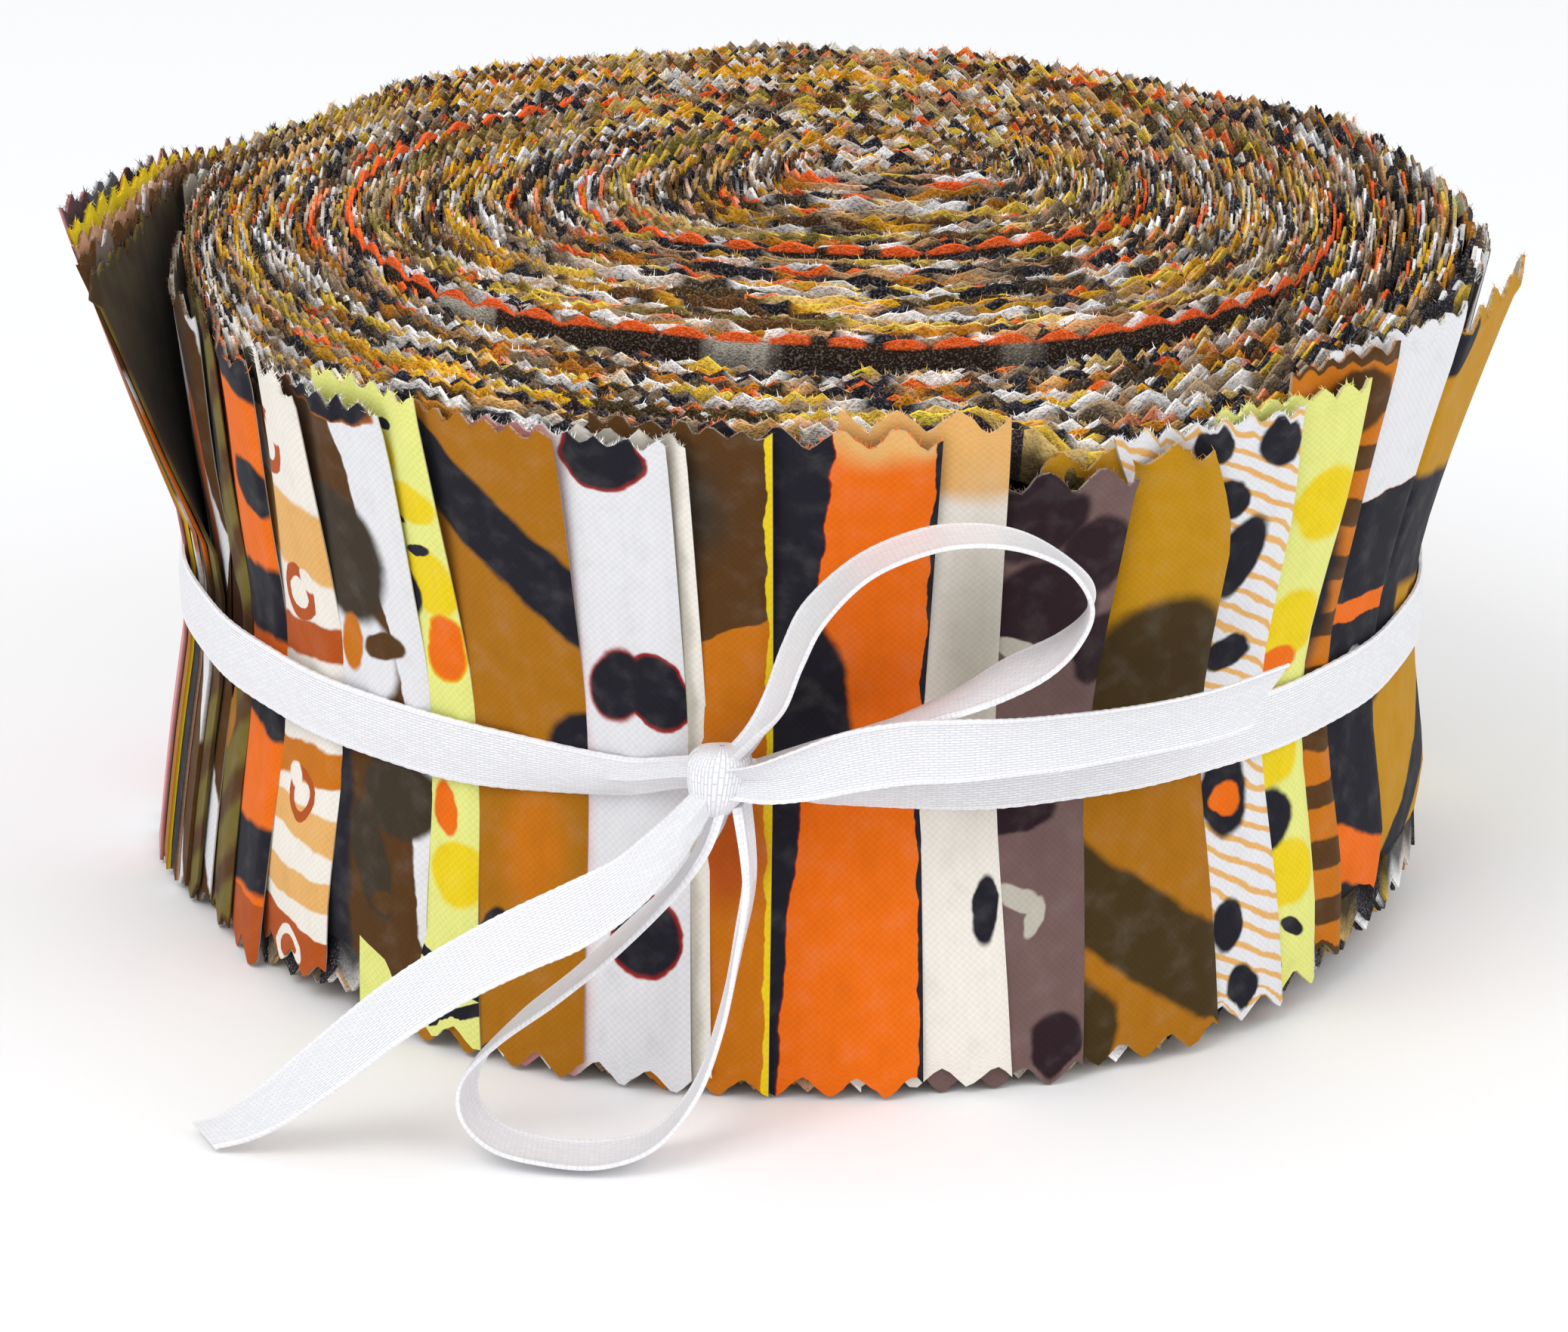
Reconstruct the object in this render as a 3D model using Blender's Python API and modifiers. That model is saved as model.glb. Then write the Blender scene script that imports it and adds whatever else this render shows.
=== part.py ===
"""A roll of forty pinked cotton strips, tied round its waist with a satin ribbon and bow.

The strips are folded in half, stacked, and wound up as one thick bundle. Their folded ends come to the
surface one after another, so the side of the roll is shingled, and each strip's right edge is free. The
ribbon draws the waist in, and the strips flare above and below it. At the left the last few strips spring
away from the roll. The roll stands on the flat bottom of its winding, with the origin at its middle.
"""

from dataclasses import dataclass, replace
from math import cos, pi, radians, sin
from random import Random

import bmesh
import bpy
from mathutils import Vector

MM = 0.001
WELD = 1e-6
BAND_STEPS = 96

# Colours and surfaces
COTTON, COTTON_INNER, SATIN = (0.42, 0.2, 0.03), (0.1, 0.06, 0.02), (0.86, 0.86, 0.9)
COTTON_ROUGHNESS, SATIN_ROUGHNESS = 0.9, 0.45

# Driving sizes, in millimetres
STRIP_WIDTH = 63.5
TOOTH_PITCH = 4.66
TOOTH_DEPTH = 2.1
TEETH_RADIUS = 61.0
GAP = 0.3
ROLL_TOP = STRIP_WIDTH - 1.7
RIBBON_WIDTH = 6.4
RIBBON_THICKNESS = 1.0
RIBBON_HEIGHT = 28.4
BAND_INNER_RADIUS = 57.1
BAND_LIFT_BEHIND = 0.8
WAIST_HALF_HEIGHT = 4.6
FLARE_IN_FRONT = 2.6
BACK_LOSS_AT_TOP = 1.6

# The shingles round the back: their usual width, and the step down after each free edge, in degrees
BACK_SHINGLE = 9.2
EDGE_STEP = 0.35


@dataclass(frozen=True)
class Shingle:
    """A strip's visible stretch: its free edge's angle, its top's height over the others, its flare, its foot's lift."""

    edge: float
    rise: float = 0.0
    flare: float = 0.0
    foot: float = 0.0


@dataclass(frozen=True)
class Level:
    """A height on the roll's side: its radius, its share of the flare at the top, and a shingle's step."""

    height: float
    radius: float
    flare: float
    step: float


FRONT_SHINGLES = (
    Shingle(edge=-143.0, rise=-2.6, flare=-0.4),
    Shingle(edge=-134.5, rise=-1.4, flare=0.2, foot=2.0),
    Shingle(edge=-124.5, rise=-1.8, flare=0.3, foot=3.8),
    Shingle(edge=-120.0, rise=-0.4, flare=0.0, foot=1.0),
    Shingle(edge=-109.5, rise=-0.9, flare=0.4, foot=0.3),
    Shingle(edge=-100.5, rise=-0.9, flare=0.5, foot=0.2),
    Shingle(edge=-92.5, rise=-0.2, flare=0.2),
    Shingle(edge=-79.5, rise=0.0, flare=0.4, foot=0.2),
    Shingle(edge=-74.0, rise=0.9, flare=0.3, foot=0.6),
    Shingle(edge=-64.0, rise=-3.4, flare=0.2),
    Shingle(edge=-54.0, rise=-2.4, flare=1.0, foot=0.7),
    Shingle(edge=-46.0, rise=-1.2, flare=0.4, foot=1.4),
    Shingle(edge=-38.5, rise=-0.7, flare=0.6, foot=2.0),
    Shingle(edge=-34.5, rise=0.6, flare=0.4, foot=3.0),
    Shingle(edge=-25.0, rise=1.0, flare=0.6, foot=4.4),
    Shingle(edge=-6.0, rise=0.0, flare=1.6, foot=5.0),
)

SIDE = (
    Level(height=5.5, radius=58.6, flare=0.0, step=0.9),
    Level(height=15.0, radius=57.6, flare=0.0, step=0.7),
    Level(height=RIBBON_HEIGHT - WAIST_HALF_HEIGHT, radius=56.4, flare=0.0, step=0.5),
    Level(height=RIBBON_HEIGHT + WAIST_HALF_HEIGHT, radius=56.4, flare=0.0, step=0.5),
    Level(height=42.0, radius=58.0, flare=0.15, step=0.7),
    Level(height=52.5, radius=59.2, flare=0.55, step=1.0),
)
FOOT = Level(height=0.25, radius=59.0, flare=0.0, step=1.0)
RIM = Level(height=ROLL_TOP, radius=60.2, flare=1.0, step=1.2)
BOTTOM_RADIUS = 56.8

# A lifted foot raises the lowest level by this share, and draws the flat bottom in by the next
LIFT_SHARE, BOTTOM_SHARE = 0.8, 0.9
FEET_LIFTED_UP_TO, FEET_DOWN_FROM = 0.0, 60.0
RIM_THICKNESS = 1.3
RIM_RISE_INSIDE = 0.1

# The top inside the rim: distance in from the rim, height over the roll's top
CROWN = ((2.9, -1.3), (25.0, 0.4))
CROWN_MIDDLE = 0.9

# The loose end's sheet and the hollow that it leaves in the roll
LOOSE_START, LOOSE_FULL, LOOSE_EDGE = 146.0, 178.0, 199.0
LOOSE_THICKNESS = 1.8
LOOSE_SPRING = 8.6
LOOSE_TEETH = 13
HOLLOW = LOOSE_THICKNESS + GAP
HOLLOW_BEGINS = (LOOSE_START - 14.0, LOOSE_START - 1.0)
HOLLOW_END = 228.0

# The gap between the winding's turns, which shows on top as a spiral groove
GROOVE_CUTTER_RISE = 4.0
GROOVE_STEP = 6.0


@dataclass(frozen=True)
class Gap:
    """A point of the groove, by its angle as it winds inwards: its inner side's radius, its width and depth."""

    turned: float
    radius: float
    width: float = 0.9
    depth: float = 1.0


GROOVE = (
    Gap(turned=30.0, radius=49.6),
    Gap(turned=0.0, radius=47.1),
    Gap(turned=-30.0, radius=45.8, width=1.0, depth=1.4),
    Gap(turned=-60.0, radius=43.8, width=2.8, depth=2.8),
    Gap(turned=-90.0, radius=43.2, width=2.8, depth=3.0),
    Gap(turned=-120.0, radius=42.9, width=2.8, depth=2.8),
    Gap(turned=-150.0, radius=43.7, width=1.0, depth=1.4),
    Gap(turned=-180.0, radius=41.3),
    Gap(turned=-225.0, radius=38.6),
    Gap(turned=-270.0, radius=36.2),
    Gap(turned=-315.0, radius=31.8),
    Gap(turned=-360.0, radius=27.6),
    Gap(turned=-400.0, radius=22.2, width=1.2, depth=1.6),
    Gap(turned=-440.0, radius=18.4, width=1.6, depth=2.0),
    Gap(turned=-490.0, radius=20.2, width=1.2, depth=1.6),
    Gap(turned=-540.0, radius=20.8),
    Gap(turned=-600.0, radius=17.4),
    Gap(turned=-660.0, radius=12.8),
    Gap(turned=-720.0, radius=9.6),
)


def smooth(value, low, high):
    """0 below low, 1 above high, and a soft step between them."""
    share = min(max((value - low) / (high - low), 0.0), 1.0)
    return share * share * (3.0 - 2.0 * share)


def on_circle(degrees, radius, height):
    angle = radians(degrees)
    return Vector((radius * cos(angle), radius * sin(angle), height)) * MM


def flare_at(degrees):
    """How far the tops lean out there: most at the front and sides, least behind."""
    towards_front = 0.5 - 0.5 * sin(radians(degrees))
    return FLARE_IN_FRONT * smooth(towards_front, 0.25, 0.6)


def hollow_at(degrees):
    """How far the roll's side lies in where the loose end covers it."""
    turned = degrees % 360.0
    return HOLLOW * (smooth(turned, *HOLLOW_BEGINS) - smooth(turned, LOOSE_EDGE, HOLLOW_END))


def back_loss(height, degrees):
    """The back of the roll is a little smaller at its top than the front."""
    behind = smooth(0.5 + 0.5 * sin(radians(degrees)), 0.45, 0.8)
    return BACK_LOSS_AT_TOP * behind * smooth(height, 30.0, 60.0)


def make_material(name, colour, roughness):
    material = bpy.data.materials.new(name)
    material.use_nodes = True
    shader = material.node_tree.nodes["Principled BSDF"]
    shader.inputs["Base Color"].default_value = (*colour, 1.0)
    shader.inputs["Roughness"].default_value = roughness
    shader.inputs["Metallic"].default_value = 0.0
    return material


def make_object(name, bm, collection, material=None):
    """Turns the bmesh into an object of this name, with its faces facing out, and puts it in the collection."""
    mesh = bpy.data.meshes.new(name)
    bmesh.ops.recalc_face_normals(bm, faces=bm.faces)
    bm.to_mesh(mesh)
    bm.free()
    piece = bpy.data.objects.new(name, mesh)
    collection.objects.link(piece)
    if material:
        mesh.materials.append(material)
    return piece


def thicken(piece, thickness):
    """Gives the surface this thickness, in millimetres, half to each side."""
    wall = piece.modifiers.new("thickness", "SOLIDIFY")
    wall.thickness = thickness * MM
    wall.offset = 0.0


def grid_of(columns, rows):
    """A bmesh grid with this many points each way, and its points as a table by row and column."""
    bm = bmesh.new()
    bmesh.ops.create_grid(bm, x_segments=columns - 1, y_segments=rows - 1, size=1.0)
    points = sorted(bm.verts, key=lambda v: (round(v.co.y, 5), round(v.co.x, 5)))
    return bm, [points[row * columns : (row + 1) * columns] for row in range(rows)]


def all_shingles():
    """The front's measured shingles, and evenly uneven ones round the back up to the hidden side."""
    draw = Random(11)
    shingles = list(FRONT_SHINGLES)
    while shingles[-1].edge < 360.0 + FRONT_SHINGLES[0].edge - 2.0 * BACK_SHINGLE:
        edge = shingles[-1].edge + BACK_SHINGLE * draw.uniform(0.85, 1.2)
        foot = FRONT_SHINGLES[-1].foot * (1.0 - smooth(edge, FEET_LIFTED_UP_TO, FEET_DOWN_FROM))
        rise, flare = draw.uniform(-0.9, 0.5), draw.uniform(-0.2, 0.6)
        shingles.append(Shingle(edge=edge, rise=rise, flare=flare, foot=foot))
    return shingles


@dataclass(frozen=True)
class Column:
    """One line up the roll's side: its angle, whether it is a tooth's tip, and its share of the step."""

    degrees: float
    tip: bool
    share: float
    shingle: Shingle


def columns_round():
    """Every line round the roll, shingle by shingle, with two lines for each pinked tooth."""
    shingles = all_shingles()
    columns = []
    for index, shingle in enumerate(shingles):
        start = shingles[index - 1].edge if index else shingles[-1].edge - 360.0
        width = shingle.edge - start
        teeth = max(1, round(radians(width) * TEETH_RADIUS / TOOTH_PITCH))
        for step in range(2 * teeth + 1):
            share = step / (2 * teeth)
            turned = start + EDGE_STEP + (width - EDGE_STEP) * share
            columns.append(Column(turned, step % 2 == 1, share, shingle))
    return columns


def side_point(column, level, height=None):
    """A point of the roll's side on this line, at this level."""
    shingle = column.shingle
    turned = column.degrees
    uncovered = 1.0 - smooth(turned % 360.0, *HOLLOW_BEGINS)
    uncovered += smooth(turned % 360.0, LOOSE_EDGE + 2.0, HOLLOW_END)
    flare = level.flare * (flare_at(turned) + shingle.flare) * uncovered
    radius = level.radius + flare + level.step * (column.share - 0.5) - hollow_at(turned)
    radius -= back_loss(level.height, turned)
    return on_circle(turned, radius, level.height if height is None else height)


def line_up_the_side(column):
    """The roll's points on this line, from its bottom over the pinked rim to the crown."""
    notch = 0.0 if column.tip else TOOTH_DEPTH
    foot = column.shingle.foot
    inward = on_circle(column.degrees, 1.0, 0.0) * -1.0
    bottom = BOTTOM_RADIUS - BOTTOM_SHARE * foot - hollow_at(column.degrees)
    line = [on_circle(column.degrees, bottom, 0.0)]
    line.append(side_point(column, FOOT, FOOT.height + foot + notch))
    line.append(side_point(column, SIDE[0], SIDE[0].height + LIFT_SHARE * foot))
    line.extend(side_point(column, level) for level in SIDE[1:])
    rim = side_point(column, RIM, RIM.height + column.shingle.rise - notch)
    line.append(rim)
    line.append(rim + inward * RIM_THICKNESS + Vector((0.0, 0.0, RIM_RISE_INSIDE)) * MM)
    for depth, rise in CROWN:
        ring = rim + inward * depth
        ring.z = (ROLL_TOP + rise) * MM
        line.append(ring)
    return line


def make_roll(collection, cutters):
    """The whole winding as one solid: shingled side, pinked rims, crown and the groove between its turns."""
    columns = columns_round()
    columns.append(replace(columns[0], degrees=columns[0].degrees + 360.0))
    lines = [line_up_the_side(column) for column in columns]
    bm, table = grid_of(len(lines), len(lines[0]))
    for index, line in enumerate(lines):
        for row, place in enumerate(line):
            table[row][index].co = place
    bmesh.ops.remove_doubles(bm, verts=bm.verts, dist=WELD)
    rims = [edge for edge in bm.edges if edge.is_boundary]
    inner = [edge for edge in rims if edge.verts[0].co.z > ROLL_TOP * 0.5 * MM]
    outer = [edge for edge in rims if edge.verts[0].co.z <= ROLL_TOP * 0.5 * MM]
    middle = bm.verts.new((0.0, 0.0, (ROLL_TOP + CROWN_MIDDLE) * MM))
    for edge in inner:
        bm.faces.new((*edge.verts, middle))
    bmesh.ops.contextual_create(bm, geom=outer)
    roll = make_object("roll", bm, collection, make_material("printed cotton", COTTON, COTTON_ROUGHNESS))
    groove = roll.modifiers.new("winding groove", "BOOLEAN")
    groove.operation = "DIFFERENCE"
    groove.object = make_groove(cutters)
    return roll


def between(before, start, end, after, share):
    """A Catmull-Rom curve's value at this share of the way from start to end."""
    linear = end - before
    square = 2.0 * before - 5.0 * start + 4.0 * end - after
    cube = 3.0 * (start - end) + after - before
    return 0.5 * (2.0 * start + linear * share + square * share**2 + cube * share**3)


def groove_section(turned):
    """The groove's four corners at this angle, round from the top of its inner side."""
    last = len(GROOVE) - 1
    index = next(step for step in range(last) if turned >= GROOVE[step + 1].turned)
    four = [GROOVE[min(max(index + offset, 0), last)] for offset in (-1, 0, 1, 2)]
    share = (four[1].turned - turned) / (four[1].turned - four[2].turned)
    radius = between(*(gap.radius for gap in four), share)
    width = between(*(gap.width for gap in four), share)
    depth = between(*(gap.depth for gap in four), share)
    top, bottom = ROLL_TOP + GROOVE_CUTTER_RISE, ROLL_TOP - depth
    sides = ((radius, top), (radius, bottom), (radius + width, bottom), (radius + width, top))
    return [on_circle(turned, across, height) for across, height in sides]


def make_groove(cutters):
    """The solid that cuts the spiral groove, lofted through the groove's sections."""
    steps = round((GROOVE[0].turned - GROOVE[-1].turned) / GROOVE_STEP)
    bm, table = grid_of(steps + 1, 5)
    for step in range(steps + 1):
        corners = groove_section(GROOVE[0].turned - GROOVE_STEP * step)
        for row, place in enumerate((*corners, corners[0])):
            table[row][step].co = place
    bmesh.ops.remove_doubles(bm, verts=bm.verts, dist=WELD)
    bmesh.ops.holes_fill(bm, edges=[edge for edge in bm.edges if edge.is_boundary], sides=4)
    cutter = make_object("winding_groove_cutter", bm, cutters)
    cutter.hide_render = True
    cutter.display_type = "WIRE"
    return cutter


def outer_radius(height):
    """The roll's radius over the shingles' steps at this height, without its flare."""
    levels = (FOOT, *SIDE, RIM)
    for lower, upper in zip(levels, levels[1:]):
        if height <= upper.height:
            break
    share = max(height - lower.height, 0.0) / (upper.height - lower.height)
    ends = [level.radius + 0.5 * level.step for level in (lower, upper)]
    return ends[0] + (ends[1] - ends[0]) * share


def make_loose_end(collection):
    """The last strips of the winding: they lie on the roll behind and spring away from it at the left."""
    columns = 2 * LOOSE_TEETH + 1
    waist_top = RIBBON_HEIGHT + WAIST_HALF_HEIGHT
    top = ROLL_TOP - 0.4
    heights = (0.3, 12.0, RIBBON_HEIGHT - WAIST_HALF_HEIGHT, waist_top, 41.0, 50.0, 57.0, top)
    bm, table = grid_of(columns, len(heights))
    for index in range(columns):
        notch = TOOTH_DEPTH if index % 2 == 0 else 0.0
        turned = LOOSE_START + (LOOSE_EDGE - LOOSE_START) * index / (columns - 1)
        sprung = smooth(turned, LOOSE_START + 4.0, LOOSE_FULL)
        for row, height in enumerate(heights):
            radius = outer_radius(height) - back_loss(height, turned) - 0.5 * LOOSE_THICKNESS
            radius += LOOSE_SPRING * sprung * max(height - waist_top, 0.0) / (ROLL_TOP - waist_top)
            edge = height
            if row == 0:
                edge += notch
            if height == top:
                edge -= notch
            table[row][index].co = on_circle(turned, radius, edge)
    inner_side = make_material("printed cotton, inner side", COTTON_INNER, COTTON_ROUGHNESS)
    piece = make_object("loose_end", bm, collection, inner_side)
    thicken(piece, LOOSE_THICKNESS)
    return piece


def make_band(collection, satin):
    """The ribbon round the waist: a plain turned ring, a little higher behind than in front."""
    bm, table = grid_of(BAND_STEPS + 1, 2)
    for index in range(BAND_STEPS + 1):
        turned = 360.0 * index / BAND_STEPS
        lift = BAND_LIFT_BEHIND * smooth(0.5 + 0.5 * sin(radians(turned)), 0.25, 0.9)
        for row, side in enumerate((-0.5, 0.5)):
            radius = BAND_INNER_RADIUS + 0.5 * RIBBON_THICKNESS
            table[row][index].co = on_circle(turned, radius, RIBBON_HEIGHT + lift + side * RIBBON_WIDTH)
    bmesh.ops.remove_doubles(bm, verts=bm.verts, dist=WELD)
    piece = make_object("ribbon_band", bm, collection, satin)
    thicken(piece, RIBBON_THICKNESS)
    return piece


@dataclass(frozen=True)
class Way:
    """A point on a ribbon's middle line: its place, the way its width runs, and half its width there."""

    place: tuple
    across: tuple
    half: float = 0.5 * RIBBON_WIDTH


UPPER_LOOP = (
    Way(place=(-4.0, -61.3, 33.9), across=(0.2, -1.0, 0.1), half=1.4),
    Way(place=(-1.6, -62.5, 37.6), across=(0.3, -1.0, 0.0), half=2.6),
    Way(place=(-0.4, -63.4, 42.4), across=(0.3, -1.0, 0.0)),
    Way(place=(1.4, -64.2, 46.5), across=(0.3, -1.0, 0.0)),
    Way(place=(5.2, -64.7, 50.6), across=(0.2, -1.0, 0.0)),
    Way(place=(10.0, -64.9, 53.0), across=(0.2, -1.0, 0.0)),
    Way(place=(14.2, -64.7, 53.6), across=(0.2, -1.0, 0.0)),
    Way(place=(18.2, -64.1, 52.9), across=(0.2, -1.0, 0.0)),
    Way(place=(21.6, -63.2, 50.9), across=(0.2, -1.0, 0.0)),
    Way(place=(23.8, -62.3, 47.8), across=(0.1, -1.0, 0.0)),
    Way(place=(23.5, -61.7, 44.7), across=(0.1, -1.0, 0.1)),
    Way(place=(20.9, -61.3, 42.0), across=(0.1, -1.0, 0.2)),
    Way(place=(17.0, -61.0, 39.9), across=(0.1, -1.0, 0.2), half=2.9),
    Way(place=(12.5, -60.5, 38.2), across=(0.1, -1.0, 0.2), half=2.3),
    Way(place=(6.5, -60.2, 36.4), across=(0.0, -1.0, 0.2), half=1.9),
    Way(place=(1.5, -60.4, 34.3), across=(0.0, -1.0, 0.2), half=1.6),
    Way(place=(-2.7, -60.6, 32.1), across=(0.0, -1.0, 0.2), half=1.3),
)

RIGHT_TAIL = (
    Way(place=(-3.9, -63.7, 30.4), across=(0.2, 0.0, -1.0), half=1.7),
    Way(place=(0.0, -64.4, 32.4), across=(0.3, 0.0, -1.0), half=2.5),
    Way(place=(4.2, -64.6, 33.9), across=(0.2, 0.0, -1.0), half=3.0),
    Way(place=(9.0, -64.3, 34.4), across=(0.1, 0.0, -1.0)),
    Way(place=(13.4, -63.6, 34.4), across=(0.0, 0.0, -1.0)),
    Way(place=(18.0, -62.2, 34.4), across=(0.0, 0.1, -1.0)),
    Way(place=(22.5, -60.4, 34.6), across=(0.1, 0.1, -1.0)),
    Way(place=(27.0, -58.2, 35.0), across=(0.1, 0.2, -1.0)),
    Way(place=(31.4, -55.6, 35.5), across=(0.1, 0.2, -1.0)),
    Way(place=(35.4, -52.8, 36.1), across=(0.2, 0.2, -1.0)),
    Way(place=(39.0, -50.0, 36.9), across=(0.2, 0.2, -1.0)),
)

LEFT_TAIL = (
    Way(place=(-8.9, -63.2, 27.9), across=(0.5, -0.3, -0.8), half=1.5),
    Way(place=(-11.0, -65.6, 25.6), across=(0.4, -0.4, -0.8), half=2.0),
    Way(place=(-14.4, -68.2, 23.4), across=(0.3, -0.5, -0.8), half=2.5),
    Way(place=(-18.5, -70.3, 21.6), across=(0.3, -0.6, -0.7), half=2.9),
    Way(place=(-22.6, -71.5, 20.0), across=(0.4, -0.6, -0.7)),
    Way(place=(-26.6, -72.2, 18.1), across=(0.4, -0.7, -0.6)),
    Way(place=(-30.4, -72.5, 15.8), across=(0.5, -0.7, -0.5)),
    Way(place=(-33.9, -72.5, 13.2), across=(0.5, -0.7, -0.4)),
    Way(place=(-37.2, -72.2, 10.2), across=(0.6, -0.7, -0.3)),
    Way(place=(-40.4, -71.7, 7.2), across=(0.6, -0.7, -0.2)),
    Way(place=(-43.6, -71.1, 4.3), across=(0.6, -0.7, -0.1)),
    Way(place=(-46.8, -70.4, 2.0), across=(0.6, -0.7, 0.0)),
    Way(place=(-49.6, -69.8, 0.9), across=(0.6, -0.8, 0.0)),
)

LOWER_LOOP = (
    Way(place=(-6.6, -61.2, 26.6), across=(-0.3, -0.9, -0.3), half=1.4),
    Way(place=(-9.6, -62.6, 22.4), across=(-0.3, -0.9, -0.3), half=2.2),
    Way(place=(-14.2, -64.0, 17.6), across=(-0.3, -0.9, -0.3), half=2.9),
    Way(place=(-19.2, -65.4, 13.4), across=(-0.3, -0.9, -0.2)),
    Way(place=(-24.0, -67.0, 10.0), across=(-0.3, -0.9, -0.1)),
    Way(place=(-27.0, -68.6, 6.9), across=(-0.3, -0.9, 0.0)),
    Way(place=(-27.3, -70.2, 4.0), across=(-0.2, -1.0, 0.0)),
    Way(place=(-24.8, -71.6, 1.7), across=(-0.1, -1.0, 0.0)),
    Way(place=(-20.4, -72.6, 0.9), across=(0.0, -1.0, 0.0)),
    Way(place=(-15.6, -72.9, 0.9), across=(0.0, -1.0, 0.0)),
    Way(place=(-11.2, -72.2, 2.2), across=(0.0, -1.0, 0.1)),
    Way(place=(-7.9, -70.4, 5.8), across=(0.0, -1.0, 0.1)),
    Way(place=(-5.9, -68.0, 11.0), across=(0.0, -1.0, 0.0), half=3.0),
    Way(place=(-4.6, -65.4, 17.0), across=(0.0, -1.0, -0.1), half=2.5),
    Way(place=(-3.8, -63.0, 22.5), across=(0.0, -1.0, -0.2), half=1.9),
    Way(place=(-3.6, -61.4, 26.9), across=(0.0, -1.0, -0.2), half=1.3),
)

KNOT_MIDDLE = (-6.7, -60.65, 30.2)
KNOT_HALVES = (3.3, 2.7, 3.1)
KNOT_CREASES = 0.06
STEPS_PER_WAY = 2


def smooth_route(ways):
    """Places, unit directions across and half widths along the smooth curve through the ways."""
    last = len(ways) - 1
    lines = []
    for index in range(last):
        four = [ways[min(max(index + offset, 0), last)] for offset in (-1, 0, 1, 2)]
        for step in range(STEPS_PER_WAY):
            share = step / STEPS_PER_WAY
            place = between(*(Vector(way.place) for way in four), share)
            across = between(*(Vector(way.across) for way in four), share).normalized()
            lines.append((place, across, between(*(way.half for way in four), share)))
    end = ways[last]
    lines.append((Vector(end.place), Vector(end.across).normalized(), end.half))
    return lines


def make_ribbon(name, ways, collection, satin):
    """A flat ribbon of the real width along its ways, with its thickness to both sides."""
    lines = smooth_route(ways)
    bm, table = grid_of(len(lines), 3)
    for index, (place, across, half) in enumerate(lines):
        for row, side in enumerate((-1.0, 0.0, 1.0)):
            table[row][index].co = (place + across * half * side) * MM
    piece = make_object(name, bm, collection, satin)
    thicken(piece, RIBBON_THICKNESS)
    return piece


def make_knot(collection, satin):
    """The pulled knot: a small pillow with the creases of the ribbon that wraps it."""
    bm = bmesh.new()
    bmesh.ops.create_uvsphere(bm, u_segments=20, v_segments=12, radius=1.0)
    for vertex in bm.verts:
        place = vertex.co.copy()
        crease = 1.0 - KNOT_CREASES * (1.0 + cos(3.0 * pi * place.x)) * 0.5
        stretched = [place[axis] * KNOT_HALVES[axis] * crease for axis in range(3)]
        vertex.co = (Vector(stretched) + Vector(KNOT_MIDDLE)) * MM
    return make_object("ribbon_knot", bm, collection, satin)


def main():
    for item in list(bpy.data.objects):
        bpy.data.objects.remove(item, do_unlink=True)
    roll_parts = bpy.data.collections.new("fabric strip roll")
    cutters = bpy.data.collections.new("cutters")
    for collection in (roll_parts, cutters):
        bpy.context.scene.collection.children.link(collection)
    make_roll(roll_parts, cutters)
    make_loose_end(roll_parts)
    ribbons = {
        "ribbon_loop_upper": UPPER_LOOP,
        "ribbon_loop_lower": LOWER_LOOP,
        "ribbon_tail_right": RIGHT_TAIL,
        "ribbon_tail_left": LEFT_TAIL,
    }
    make_band(roll_parts, make_material("satin, band", SATIN, SATIN_ROUGHNESS))
    make_knot(roll_parts, make_material("satin, knot", SATIN, SATIN_ROUGHNESS))
    for name, ways in ribbons.items():
        make_ribbon(name, ways, roll_parts, make_material(f"satin, {name}", SATIN, SATIN_ROUGHNESS))
    for piece in roll_parts.objects:
        piece.data.shade_smooth()
        piece.data.set_sharp_from_angle(angle=radians(30.0))


main()
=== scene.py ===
"""Dresses the fabric strip roll: folded printed strips, their wound pinked layers and a satin ribbon's bow.

All shapes are worked out in millimetres and become metres when a mesh is made.
"""

import logging
from dataclasses import dataclass, field, replace
from enum import Enum
from typing import Any

import bpy
import numpy as np
from mathutils import Matrix, Vector


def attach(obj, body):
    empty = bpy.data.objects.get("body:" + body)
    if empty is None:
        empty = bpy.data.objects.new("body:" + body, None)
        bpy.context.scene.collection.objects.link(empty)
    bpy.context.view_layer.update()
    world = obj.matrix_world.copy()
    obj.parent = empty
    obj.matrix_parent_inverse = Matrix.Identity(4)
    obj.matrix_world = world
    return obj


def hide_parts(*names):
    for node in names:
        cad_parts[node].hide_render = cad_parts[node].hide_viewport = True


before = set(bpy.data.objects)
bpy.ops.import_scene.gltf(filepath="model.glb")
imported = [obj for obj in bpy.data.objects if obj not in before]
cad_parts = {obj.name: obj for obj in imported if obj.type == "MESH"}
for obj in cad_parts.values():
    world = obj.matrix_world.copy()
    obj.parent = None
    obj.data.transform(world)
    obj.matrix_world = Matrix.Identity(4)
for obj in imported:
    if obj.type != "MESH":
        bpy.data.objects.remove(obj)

LOG = logging.getLogger("fabric strip roll")
MM = 0.001
TOOTH_PITCH = 4.66
FINE_PITCH = 0.52 * TOOTH_PITCH
TOOTH_DEPTH = 2.1
PINKED_REACH = 3.0
POINT_STEP = 0.125 * TOOTH_PITCH
TABLE_CLEARANCE = 0.12
SEED = 23


def smooth(value: Any, low: float, high: float) -> np.ndarray:
    """0 below low, 1 above high, and a soft step between them."""
    share = np.clip((np.asarray(value, dtype=float) - low) / (high - low), 0.0, 1.0)
    return share * share * (3.0 - 2.0 * share)


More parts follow.
